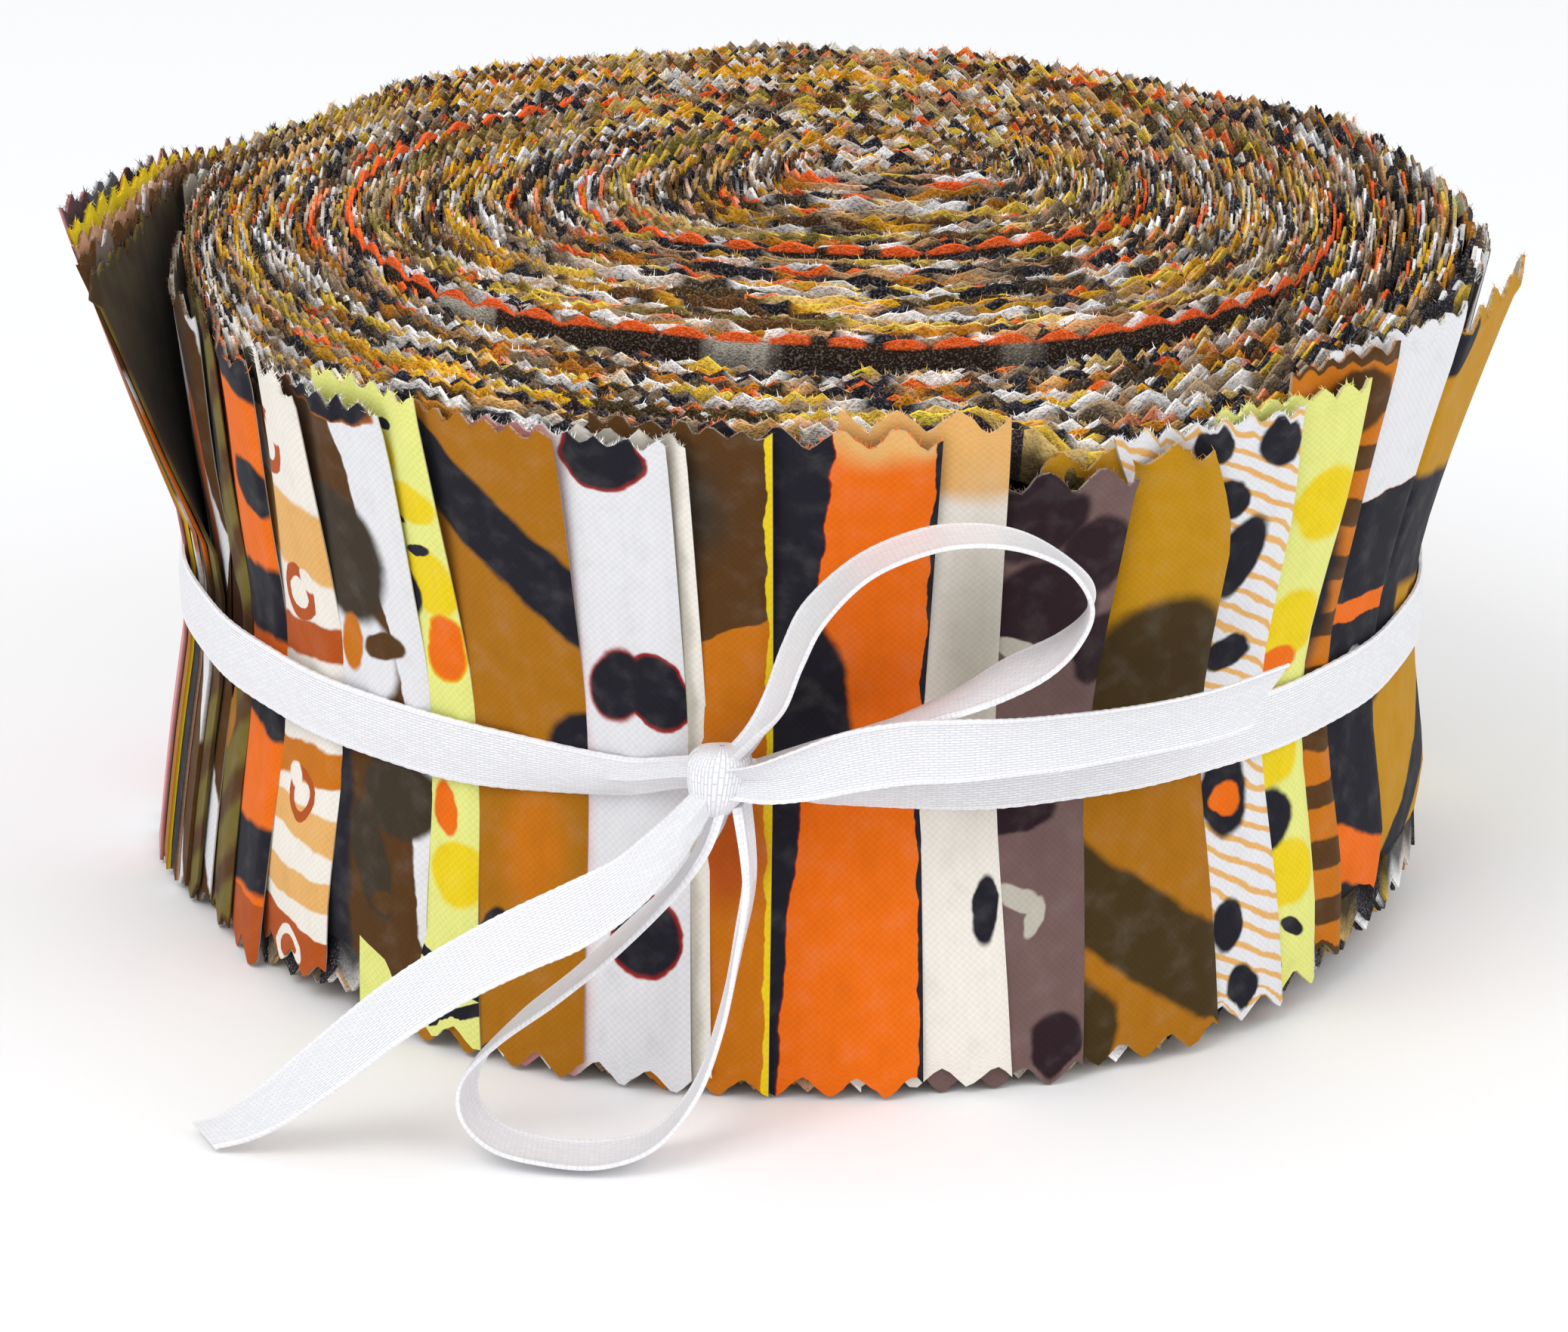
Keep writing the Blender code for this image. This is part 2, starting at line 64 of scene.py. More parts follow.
def eased(value: np.ndarray, places: list[float], table: list[float], reach: float) -> np.ndarray:
    """A table's value at these places, rounded off between its rows over this reach to either side."""
    shifts = (-reach, -0.5 * reach, 0.0, 0.5 * reach, reach)
    return np.mean([np.interp(value + shift, places, table) for shift in shifts], axis=0)


def unit(vectors: np.ndarray) -> np.ndarray:
    """The vectors at a length of 1."""
    return vectors / np.linalg.norm(vectors, axis=-1, keepdims=True)


def lengths_along(line: np.ndarray) -> np.ndarray:
    """How far along a line each of its points lies."""
    return np.concatenate([[0.0], np.cumsum(np.linalg.norm(np.diff(line, axis=0), axis=1))])


def depth_share(degrees: np.ndarray) -> np.ndarray:
    """How far back these angles lie, from 0 at the very front to 1 at the very back."""
    return 0.5 + 0.5 * np.sin(np.radians(degrees))


def on_circle(degrees: np.ndarray, radius: np.ndarray, height: np.ndarray) -> np.ndarray:
    """Points at these angles, radii and heights, in an array whose last axis is x, y, z."""
    angle = np.radians(degrees)
    parts = np.broadcast_arrays(radius * np.cos(angle), radius * np.sin(angle), height)
    return np.stack(parts, axis=-1)


def on_cloth(along: np.ndarray, up: np.ndarray) -> np.ndarray:
    """Places on a cloth's own map, in an array whose last axis is u, v."""
    return np.stack(np.broadcast_arrays(along, up), axis=-1)


def tooth_notch(along: np.ndarray, begin: float, pitch: float = TOOTH_PITCH) -> np.ndarray:
    """How deep the pinked edge is cut, from 0 at a tip to 1.

    Args:
        along: How far along the edge the points lie.
        begin: Where in a tooth the edge begins, in quarters of a tooth.
        pitch: How long a tooth is.

    Returns:
        The shares of the full depth.
    """
    turned = np.mod(along / (0.25 * pitch) + begin, 4.0)
    straight = 1.0 - np.abs(turned - 2.0) / 2.0
    rounded = 0.5 - 0.5 * np.cos(0.5 * np.pi * turned)
    return 0.5 * straight + 0.5 * rounded


def pinked_share(away: np.ndarray) -> np.ndarray:
    """How much of the teeth's depth shifts the points this far inside a strip's pinked edge."""
    return np.clip(1.0 - away / PINKED_REACH, 0.0, 1.0)


def top_line(sheet: tuple[np.ndarray, ...]) -> np.ndarray:
    """The middle of a sheet's upper edge, between its two faces."""
    return 0.5 * (sheet[0][-1] + sheet[1][-1])


def strip_rows(count: int) -> np.ndarray:
    """Shares of a strip's height, with this many rows in the middle and closer ones near its edges."""
    return np.concatenate([[0.0, 0.05], np.linspace(0.08, 0.9, count), [0.955, 0.975, 1.0]])


class Dye(Enum):
    """The colours of the printed cotton and the ribbon, as a screen shows them."""

    MUSTARD = (168, 108, 18)
    ORANGE = (232, 108, 16)
    OCHRE = (196, 112, 16)
    RUST = (176, 80, 24)
    NAVY = (30, 29, 38)
    DARK_BROWN = (84, 54, 22)
    CHARCOAL = (60, 50, 38)
    LIME = (226, 228, 132)
    YELLOW = (232, 204, 28)
    CREAM = (236, 230, 220)
    WHITE = (226, 226, 229)
    BEIGE = (188, 182, 168)
    TAN = (226, 174, 104)
    MAUVE = (113, 89, 86)
    AUBERGINE = (44, 28, 34)
    GOLD = (188, 136, 18)
    OLIVE = (112, 98, 40)
    SLATE = (84, 92, 110)
    PINK = (214, 150, 150)
    RED = (190, 44, 34)
    GREY = (204, 200, 197)
    KHAKI = (196, 164, 56)
    EMBER = (232, 92, 26)
    ROSE_TAN = (196, 150, 118)
    UMBER = (46, 30, 20)
    PEAT = (66, 50, 22)

    @property
    def linear(self) -> tuple[float, float, float, float]:
        """The colour in the linear values that a shader works in."""
        shares = [part / 255.0 for part in self.value]
        bright = [part / 12.92 if part < 0.04045 else ((part + 0.055) / 1.055) ** 2.4 for part in shares]
        return (*bright, 1.0)


class Wire:
    """A socket of a material's node tree, on which sums are written as Python expressions."""

    def __init__(self, graph: "Graph", socket: bpy.types.NodeSocket) -> None:
        """Keeps the socket and the graph that it belongs to."""
        self.graph = graph
        self.socket = socket

    def __add__(self, other: Any) -> "Wire":
        """This value and the other together."""
        return self.graph.maths("ADD", self, other)

    def __sub__(self, other: Any) -> "Wire":
        """This value less the other."""
        return self.graph.maths("SUBTRACT", self, other)

    def __rsub__(self, other: Any) -> "Wire":
        """The other value less this one."""
        return self.graph.maths("SUBTRACT", other, self)

    def __mul__(self, other: Any) -> "Wire":
        """This value times the other."""
        return self.graph.maths("MULTIPLY", self, other)

    __radd__ = __add__


class Graph:
    """The node tree of one material, with its nodes made by one method."""

    def __init__(self, name: str) -> None:
        """Makes an empty material with its output node.

        Args:
            name: The material's name.
        """
        self.material = bpy.data.materials.new(name)
        self.material.use_nodes = True
        self.tree = self.material.node_tree
        self.tree.nodes.clear()
        self.output = self.tree.nodes.new("ShaderNodeOutputMaterial")

    def node(self, kind: str, sockets: dict[Any, Any] | None = None, **settings: Any) -> bpy.types.Node:
        """Makes a node.

        Args:
            kind: The node's type, without its usual beginning.
            sockets: Values or wires for its inputs, by name or number.
            settings: The node's own settings, which are set first.

        Returns:
            The new node.
        """
        made = self.tree.nodes.new(f"ShaderNode{kind}")
        for setting, value in settings.items():
            setattr(made, setting, value)
        for name, value in (sockets or {}).items():
            if isinstance(value, Wire):
                self.tree.links.new(value.socket, made.inputs[name])
            else:
                made.inputs[name].default_value = value
        return made

    def wire(
        self, kind: str, sockets: dict[Any, Any] | None = None, output: int | str = 0, **settings: Any
    ) -> Wire:
        """A wire from one output of a new node, which is made as by node."""
        return Wire(self, self.node(kind, sockets, **settings).outputs[output])

    def maths(self, operation: str, first: Any, second: Any = 0.0) -> Wire:
        """The result of a sum on one or two values."""
        return self.wire("Math", {0: first, 1: second}, operation=operation)

    def step(self, value: Wire, low: float, high: float) -> Wire:
        """A soft step of the value, from 0 at low to 1 at high."""
        sockets = {"Value": value, 1: low, 2: high}
        return self.wire("MapRange", sockets, "Result", interpolation_type="SMOOTHSTEP")

    def mix(self, share: Any, first: Any, second: Any) -> Wire:
        """A colour between the first and the second."""
        return self.wire("Mix", {0: share, 6: first, 7: second}, 2, data_type="RGBA")

    def placed(self, place: Wire, middle: tuple, turn: float, size: tuple) -> Wire:
        """The place as seen from a pattern's own middle, turn in degrees and size."""
        turned = (0.0, 0.0, np.radians(turn))
        sockets = {"Vector": place, "Location": (*middle, 0.0), "Rotation": turned, "Scale": (*size, 1.0)}
        return self.wire("Mapping", sockets, vector_type="TEXTURE")

    def length(self, place: Wire) -> Wire:
        """How long the vector is."""
        return self.wire("VectorMath", {0: place}, "Value", operation="LENGTH")

    def part(self, place: Wire, axis: str) -> Wire:
        """One of a vector's three numbers."""
        return self.wire("SeparateXYZ", {0: place}, axis)

    def noise(self, place: Wire, scale: float, detail: float = 2.0, output: int = 0) -> Wire:
        """Soft noise of this many bumps a unit, as a value or, with output 1, as a colour."""
        sockets = {"Vector": place, "Scale": scale, "Detail": detail}
        return self.wire("TexNoise", sockets, output, noise_dimensions="3D")

    def woven(self, cloth: Wire, thread: float) -> Wire:
        """The over and under of a plain weave of threads this wide, from -1 to 1."""
        across, up = (self.maths("SINE", self.part(cloth, axis) * (np.pi / thread)) for axis in "XY")
        return across * up

    def bump(self, height: Wire, strength: float, distance: float) -> Wire:
        """The normal of a surface with this relief, which is this many metres deep."""
        return self.wire("Bump", {"Height": height, "Strength": strength, "Distance": distance})

    def finish(self, surface: dict[str, Any]) -> bpy.types.Material:
        """Gives the material a surface with these values and returns it."""
        shader = self.node("BsdfPrincipled", surface)
        self.tree.links.new(shader.outputs[0], self.output.inputs[0])
        return self.material


@dataclass(frozen=True)
class Motif:
    """One printed shape of a cloth: its colour, its place in mm from the strip's edge and foot, its turn."""

    dye: Dye
    middle: tuple[float, float] = (0.0, 0.0)
    turn: float = 0.0
    soft: float = 0.12
    halo: Dye | None = None

    def distance(self, graph: Graph, place: Wire) -> Wire:
        """How far the place is from the shape's middle, where 1 is its rim."""
        raise NotImplementedError

    def print_on(self, graph: Graph, place: Wire, cloth: Any) -> Wire:
        """The cloth's colour with this shape printed over it.

        Args:
            graph: The material's nodes.
            place: The place on the cloth.
            cloth: The colour so far.

        Returns:
            The new colour.
        """
        away = self.distance(graph, place)
        if self.halo:
            cloth = graph.mix(1.0 - graph.step(away, 1.02, 1.09), cloth, self.halo.linear)
        mask = 1.0 - graph.step(away, 1.0 - self.soft, 1.0 + self.soft)
        return graph.mix(mask, cloth, self.dye.linear)


@dataclass(frozen=True)
class Spot(Motif):
    """A filled round or oval shape."""

    size: tuple[float, float] = (1.0, 1.0)

    def distance(self, graph: Graph, place: Wire) -> Wire:
        """The place's distance in the oval's own size."""
        return graph.length(graph.placed(place, self.middle, self.turn, self.size))


@dataclass(frozen=True)
class Loop(Motif):
    """An open ring, such as a curl."""

    radius: float = 2.0
    half: float = 0.5

    def distance(self, graph: Graph, place: Wire) -> Wire:
        """The place's distance from the ring's line."""
        away = graph.length(graph.placed(place, self.middle, 0.0, (self.half, self.half)))
        return graph.maths("ABSOLUTE", away - self.radius / self.half)


@dataclass(frozen=True)
class Band(Motif):
    """A straight band across the cloth."""

    half: float = 1.0

    def distance(self, graph: Graph, place: Wire) -> Wire:
        """The place's distance from the band's middle line."""
        seen = graph.placed(place, self.middle, self.turn, (1.0, self.half))
        return graph.maths("ABSOLUTE", graph.part(seen, "Y"))


@dataclass(frozen=True)
class Side(Motif):
    """All the cloth below a line, as seen along its turn."""

    def distance(self, graph: Graph, place: Wire) -> Wire:
        """1 at the line and less below it."""
        return graph.part(graph.placed(place, self.middle, self.turn, (1.0, 1.0)), "Y") + 1.0


@dataclass(frozen=True)
class Stripes(Motif):
    """Even narrow stripes."""

    pitch: float = 3.0
    half: float = 0.5

    def distance(self, graph: Graph, place: Wire) -> Wire:
        """The place's distance from the nearest stripe's middle."""
        across = graph.part(graph.placed(place, self.middle, self.turn, (1.0, 1.0)), "Y")
        nearest = graph.maths("PINGPONG", across, 0.5 * self.pitch)
        return nearest * (1.0 / self.half)


@dataclass(frozen=True)
class Print:
    """A printed cotton: its ground, its shapes, and the colours that its wound edges show."""

    name: str
    ground: Dye
    motifs: tuple[Motif, ...]
    edges: tuple[Dye, ...]
    runs: tuple[float, float] = (4.0, 12.0)
    repeat: float = 27.0
    back: Dye = Dye.BEIGE


ORANGE_NAVY = Print(
    name="orange_and_navy",
    ground=Dye.ORANGE,
    motifs=(
        Band(Dye.NAVY, middle=(5.0, 58.0), turn=4.0, half=3.2),
        Spot(Dye.NAVY, middle=(2.8, 45.6), size=(4.6, 2.4)),
        Band(Dye.NAVY, middle=(4.0, 34.2), turn=-6.0, half=3.4),
        Band(Dye.NAVY, middle=(3.0, 24.4), turn=6.0, half=2.6),
        Band(Dye.NAVY, middle=(3.0, 10.0), turn=-8.0, half=3.2),
        Side(Dye.RUST, middle=(3.0, 6.0), turn=-4.0),
    ),
    edges=(Dye.EMBER, Dye.NAVY, Dye.EMBER, Dye.MUSTARD, Dye.DARK_BROWN),
)
CREAM_CURLS = Print(
    name="cream_with_curls",
    ground=Dye.CREAM,
    motifs=(
        Loop(Dye.RUST, middle=(7.6, 51.6), radius=2.6, half=0.7),
        Spot(Dye.CREAM, middle=(5.2, 53.6), size=(1.6, 1.4)),
        Spot(Dye.RUST, middle=(10.5, 56.0), size=(1.2, 3.0)),
        Band(Dye.TAN, middle=(5.0, 43.4), turn=4.0, half=3.6),
        Loop(Dye.RUST, middle=(5.6, 37.6), radius=2.1, half=0.6),
        Spot(Dye.CREAM, middle=(3.6, 39.2), size=(1.3, 1.1)),
        Band(Dye.RUST, middle=(1.6, 33.6), turn=-6.0, half=1.8),
        Band(Dye.OCHRE, middle=(2.5, 21.8), turn=-5.0, half=1.7),
        Band(Dye.TAN, middle=(3.8, 16.0), turn=5.0, half=1.5),
        Loop(Dye.RUST, middle=(5.4, 18.6), radius=2.0, half=0.5),
        Spot(Dye.CREAM, middle=(6.9, 20.0), size=(1.2, 1.0)),
        Band(Dye.TAN, middle=(4.5, 10.3), half=1.4),
        Side(Dye.RUST, middle=(4.0, 6.6), turn=6.0),
        Loop(Dye.CREAM, middle=(6.0, 3.4), radius=2.0, half=0.5),
    ),
    edges=(Dye.CREAM, Dye.ROSE_TAN, Dye.DARK_BROWN, Dye.NAVY),
)
CHARCOAL_WHITE = Print(
    name="charcoal_on_white",
    ground=Dye.WHITE,
    motifs=(
        Side(Dye.DARK_BROWN, middle=(4.8, 50.0), turn=84.0),
        Spot(Dye.WHITE, middle=(8.2, 34.0), size=(5.0, 5.0)),
        Spot(Dye.NAVY, middle=(6.0, 59.6), turn=8.0, size=(5.4, 2.4), halo=Dye.OCHRE),
        Spot(Dye.CHARCOAL, middle=(8.0, 43.6), size=(5.4, 6.4)),
        Spot(Dye.OCHRE, middle=(8.6, 35.0), turn=12.0, size=(1.6, 3.0)),
        Spot(Dye.DARK_BROWN, middle=(4.4, 35.6), turn=-20.0, size=(2.4, 1.4)),
        Spot(Dye.NAVY, middle=(13.6, 14.0), size=(4.6, 17.0)),
        Spot(Dye.CHARCOAL, middle=(3.2, 22.0), turn=10.0, size=(4.6, 3.8)),
        Spot(Dye.CHARCOAL, middle=(6.4, 15.6), turn=-24.0, size=(2.2, 5.4)),
        Spot(Dye.DARK_BROWN, middle=(4.6, 12.4), size=(1.7, 1.1)),
        Spot(Dye.DARK_BROWN, middle=(7.4, 8.6), size=(1.6, 1.3)),
    ),
    edges=(Dye.WHITE, Dye.NAVY, Dye.CHARCOAL, Dye.GREY),
)
LIME_DOTS = Print(
    name="lime_with_dots",
    ground=Dye.LIME,
    motifs=(
        Spot(Dye.YELLOW, middle=(6.8, 55.2), size=(3.0, 2.8)),
        Spot(Dye.YELLOW, middle=(3.2, 50.6), size=(3.2, 2.0)),
        Spot(Dye.YELLOW, middle=(2.4, 43.2), size=(2.8, 3.2)),
        Spot(Dye.NAVY, middle=(4.3, 57.6), size=(0.8, 0.6)),
        Spot(Dye.NAVY, middle=(8.5, 51.8), size=(0.9, 0.6)),
        Spot(Dye.NAVY, middle=(5.6, 48.8), turn=16.0, size=(1.7, 0.5)),
        Spot(Dye.NAVY, middle=(3.0, 46.0), turn=-10.0, size=(1.5, 0.5)),
        Spot(Dye.NAVY, middle=(5.6, 41.6), size=(2.0, 2.4)),
        Spot(Dye.ORANGE, middle=(2.0, 37.0), turn=18.0, size=(2.0, 3.4), halo=Dye.YELLOW),
        Spot(Dye.ORANGE, middle=(3.4, 22.0), turn=-14.0, size=(1.3, 2.2)),
        Spot(Dye.YELLOW, middle=(2.0, 16.6), size=(3.0, 2.8)),
        Band(Dye.NAVY, middle=(3.0, 7.6), turn=28.0, half=0.5),
        Band(Dye.NAVY, middle=(3.0, 3.6), turn=-22.0, half=0.6),
    ),
    edges=(Dye.KHAKI, Dye.GREY, Dye.NAVY, Dye.GOLD),
)
MUSTARD_SWEEP = Print(
    name="mustard_with_sweep",
    ground=Dye.MUSTARD,
    motifs=(
        Band(Dye.NAVY, middle=(4.8, 47.6), turn=41.0, half=3.0),
        Spot(Dye.NAVY, middle=(12.0, 54.6), turn=64.0, size=(4.4, 2.6)),
        Spot(Dye.NAVY, middle=(-0.8, 29.6), size=(4.4, 3.8)),
        Spot(Dye.NAVY, middle=(8.8, 12.0), turn=20.0, size=(1.4, 2.4)),
        Spot(Dye.OCHRE, middle=(5.0, 20.0), size=(3.0, 5.0), soft=0.6),
    ),
    edges=(Dye.MUSTARD, Dye.NAVY),
    runs=(6.0, 20.0),
)
WHITE_BLOTS = Print(
    name="white_with_blots",
    ground=Dye.WHITE,
    motifs=(
        Side(Dye.PINK, middle=(9.6, 40.0), turn=90.0, soft=1.6),
        Spot(Dye.NAVY, middle=(5.3, 58.6), size=(3.5, 3.3), halo=Dye.RED),
        Spot(Dye.RED, middle=(5.9, 36.4), turn=12.0, size=(2.65, 3.55)),
        Spot(Dye.NAVY, middle=(2.4, 36.0), turn=-14.0, size=(2.7, 3.7), halo=Dye.RED),
        Spot(Dye.NAVY, middle=(5.9, 36.4), turn=12.0, size=(2.5, 3.4)),
        Spot(Dye.NAVY, middle=(4.0, 14.0), size=(3.2, 3.6), halo=Dye.RED),
    ),
    edges=(Dye.WHITE, Dye.NAVY, Dye.GREY, Dye.CHARCOAL),
)
PLAIN_BEIGE = Print(
    name="plain_beige",
    ground=Dye.BEIGE,
    motifs=(Stripes(Dye.CREAM, turn=90.0, pitch=4.4, half=0.9, soft=0.6),),
    edges=(Dye.GREY, Dye.CHARCOAL, Dye.ROSE_TAN),
)
BROWN_OCHRE = Print(
    name="brown_over_ochre",
    ground=Dye.DARK_BROWN,
    motifs=(
        Side(Dye.OCHRE, middle=(3.0, 42.8), turn=-27.0),
        Spot(Dye.CHARCOAL, middle=(7.0, 54.0), size=(3.0, 4.6), soft=0.7),
        Band(Dye.YELLOW, middle=(0.1, 30.0), turn=90.0, half=0.45),
        Spot(Dye.RUST, middle=(4.0, 22.0), size=(3.4, 5.0), soft=0.6),
    ),
    edges=(Dye.DARK_BROWN, Dye.GOLD, Dye.NAVY),
)
ORANGE_BLACK = Print(
    name="orange_beside_black",
    ground=Dye.ORANGE,
    motifs=(
        Spot(Dye.TAN, middle=(4.4, 62.0), size=(5.4, 3.0), soft=0.5),
        Side(Dye.NAVY, middle=(9.4, 46.0), turn=94.0, halo=Dye.RED),
        Spot(Dye.NAVY, middle=(9.4, 36.0), size=(3.0, 9.0), turn=-10.0),
        Band(Dye.NAVY, middle=(0.1, 30.0), turn=90.0, half=0.35),
    ),
    edges=(Dye.EMBER, Dye.NAVY, Dye.NAVY, Dye.GOLD),
    runs=(5.0, 16.0),
)
TAN_CREAM = Print(
    name="tan_over_cream",
    ground=Dye.TAN,
    motifs=(
        Side(Dye.CREAM, middle=(3.0, 55.4), turn=4.0, soft=1.2),
        Spot(Dye.BEIGE, middle=(2.0, 40.0), size=(3.4, 12.0), soft=0.8),
        Spot(Dye.NAVY, middle=(1.6, 16.6), turn=8.0, size=(1.1, 3.0)),
    ),
    edges=(Dye.ROSE_TAN, Dye.CREAM, Dye.NAVY),
)
MAUVE_PATCHES = Print(
    name="mauve_with_patches",
    ground=Dye.MAUVE,
    motifs=(
        Spot(Dye.AUBERGINE, middle=(8.2, 53.2), turn=14.0, size=(4.2, 4.8)),
        Spot(Dye.AUBERGINE, middle=(2.4, 48.8), size=(3.2, 3.8)),
        Spot(Dye.AUBERGINE, middle=(6.6, 44.0), turn=-8.0, size=(4.8, 4.4)),
        Spot(Dye.AUBERGINE, middle=(0.8, 39.6), size=(2.4, 3.6)),
        Spot(Dye.GREY, middle=(7.4, 58.6), size=(1.5, 0.7)),
        Spot(Dye.BEIGE, middle=(8.3, 40.2), turn=20.0, size=(2.3, 0.9)),
        Spot(Dye.AUBERGINE, middle=(6.6, 24.4), size=(3.4, 1.5)),
        Spot(Dye.BEIGE, middle=(6.4, 17.2), turn=24.0, size=(2.4, 1.1)),
        Spot(Dye.BEIGE, middle=(4.9, 15.4), turn=-60.0, size=(1.8, 0.9)),
        Spot(Dye.AUBERGINE, middle=(2.6, 3.6), size=(2.4, 3.2)),
        Spot(Dye.AUBERGINE, middle=(9.8, 9.0), size=(2.0, 3.4)),
    ),
    edges=(Dye.MAUVE, Dye.AUBERGINE, Dye.GREY),
)
GOLD_DOME = Print(
    name="gold_with_dome",
    ground=Dye.GOLD,
    motifs=(
        Spot(Dye.PEAT, middle=(5.6, 35.8), turn=-12.0, size=(7.6, 7.4)),
        Side(Dye.MUSTARD, middle=(5.0, 27.0)),
        Band(Dye.PEAT, middle=(5.8, 10.8), turn=37.0, half=4.0),
        Spot(Dye.PEAT, middle=(14.0, 4.0), size=(3.4, 4.6)),
    ),
    edges=(Dye.GOLD, Dye.KHAKI, Dye.PEAT),
    runs=(10.0, 40.0),
)
WHITE_LEAVES = Print(
    name="white_with_leaves",
    ground=Dye.WHITE,
    motifs=(
        Stripes(Dye.TAN, turn=30.0, pitch=1.7, half=0.28, soft=0.4),
        Spot(Dye.NAVY, middle=(8.6, 57.2), turn=20.0, size=(1.9, 1.9)),
        Spot(Dye.NAVY, middle=(2.2, 56.6), turn=-16.0, size=(2.0, 2.6)),
        Spot(Dye.NAVY, middle=(7.0, 51.4), size=(1.9, 2.0)),
        Spot(Dye.NAVY, middle=(5.4, 45.6), turn=24.0, size=(2.1, 4.2)),
        Spot(Dye.NAVY, middle=(5.3, 36.2), size=(2.3, 1.7)),
        Spot(Dye.NAVY, middle=(5.6, 22.6), size=(2.7, 3.6)),
        Spot(Dye.ORANGE, middle=(5.3, 22.2), size=(1.7, 1.4)),
        Spot(Dye.NAVY, middle=(6.4, 11.0), turn=12.0, size=(1.6, 2.6)),
        Spot(Dye.NAVY, middle=(5.0, 4.6), size=(1.7, 2.2)),
    ),
    edges=(Dye.WHITE, Dye.NAVY, Dye.EMBER, Dye.GREY),
)
LIME_YELLOW = Print(
    name="lime_and_yellow",
    ground=Dye.LIME,
    motifs=(
        Spot(Dye.YELLOW, middle=(2.9, 48.6), size=(3.4, 3.8)),
        Spot(Dye.YELLOW, middle=(4.0, 36.8), size=(3.6, 3.4)),
        Spot(Dye.ORANGE, middle=(5.0, 33.4), size=(2.4, 1.6)),
        Spot(Dye.YELLOW, middle=(5.2, 24.6), size=(3.6, 2.8)),
        Spot(Dye.YELLOW, middle=(4.0, 13.6), size=(3.6, 3.0)),
        Spot(Dye.NAVY, middle=(5.3, 19.0), size=(2.6, 2.8)),
        Spot(Dye.NAVY, middle=(3.4, 8.6), turn=30.0, size=(1.6, 0.7)),
        Spot(Dye.NAVY, middle=(5.6, 4.8), turn=-20.0, size=(1.2, 0.9)),
    ),
    edges=(Dye.KHAKI, Dye.GOLD, Dye.NAVY),
    runs=(6.0, 20.0),
)
OCHRE_STRIPES = Print(
    name="ochre_stripes",
    ground=Dye.OCHRE,
    motifs=(
        Stripes(Dye.DARK_BROWN, middle=(0.0, 51.4), turn=7.0, pitch=5.4, half=1.25),
        Spot(Dye.NAVY, middle=(5.0, 40.0), size=(3.0, 9.0), soft=0.3),
        Spot(Dye.DARK_BROWN, middle=(4.0, 57.4), size=(4.0, 3.4)),
    ),
    edges=(Dye.MUSTARD, Dye.NAVY, Dye.CHARCOAL),
)
BLACK_ORANGE = Print(
    name="black_with_orange",
    ground=Dye.NAVY,
    motifs=(
        Side(Dye.WHITE, middle=(4.0, 46.4), turn=180.0, halo=Dye.OCHRE),
        Band(Dye.ORANGE, middle=(7.6, 35.4), turn=5.0, half=1.1),
        Spot(Dye.WHITE, middle=(5.4, 29.6), turn=20.0, size=(1.8, 1.6)),
        Band(Dye.ORANGE, middle=(6.3, 11.6), turn=24.0, half=2.4),
    ),
    edges=(Dye.NAVY, Dye.EMBER, Dye.NAVY, Dye.WHITE),
)
MUSTARD_BLACK = Print(
    name="mustard_over_black",
    ground=Dye.GOLD,
    motifs=(
        Band(Dye.NAVY, middle=(10.0, 38.4), turn=13.0, half=5.4),
        Spot(Dye.NAVY, middle=(18.0, 58.0), size=(3.2, 3.0)),
        Spot(Dye.NAVY, middle=(18.0, 30.0), turn=20.0, size=(4.0, 6.0)),
        Band(Dye.NAVY, middle=(6.0, 14.0), turn=-38.0, half=2.6),
    ),
    edges=(Dye.KHAKI, Dye.NAVY, Dye.NAVY),
)
BROWN_WHITE = Print(
    name="brown_and_white",
    ground=Dye.DARK_BROWN,
    motifs=(
        Stripes(Dye.WHITE, middle=(0.0, 6.0), turn=70.0, pitch=9.0, half=1.5),
        Spot(Dye.ORANGE, middle=(4.0, 40.0), size=(2.0, 9.0)),
    ),
    edges=(Dye.DARK_BROWN, Dye.WHITE, Dye.EMBER, Dye.NAVY),
)
OLIVE_SPECKS = Print(
    name="olive_with_specks",
    ground=Dye.OLIVE,
    motifs=(
        Stripes(Dye.DARK_BROWN, turn=-38.0, pitch=6.0, half=1.2, soft=0.6),
        Spot(Dye.NAVY, middle=(5.0, 46.0), size=(2.6, 3.4)),
        Spot(Dye.MUSTARD, middle=(7.0, 20.0), size=(3.0, 3.6)),
    ),
    edges=(Dye.OLIVE, Dye.KHAKI, Dye.DARK_BROWN),
    runs=(10.0, 34.0),
    back=Dye.CHARCOAL,
)
SLATE_GREY = Print(
    name="slate_and_grey",
    ground=Dye.SLATE,
    motifs=(
        Spot(Dye.BEIGE, middle=(8.0, 48.0), size=(4.0, 7.0), soft=0.5),
        Spot(Dye.NAVY, middle=(16.0, 30.0), size=(4.0, 6.0)),
    ),
    edges=(Dye.CHARCOAL, Dye.GREY, Dye.NAVY, Dye.WHITE),
)


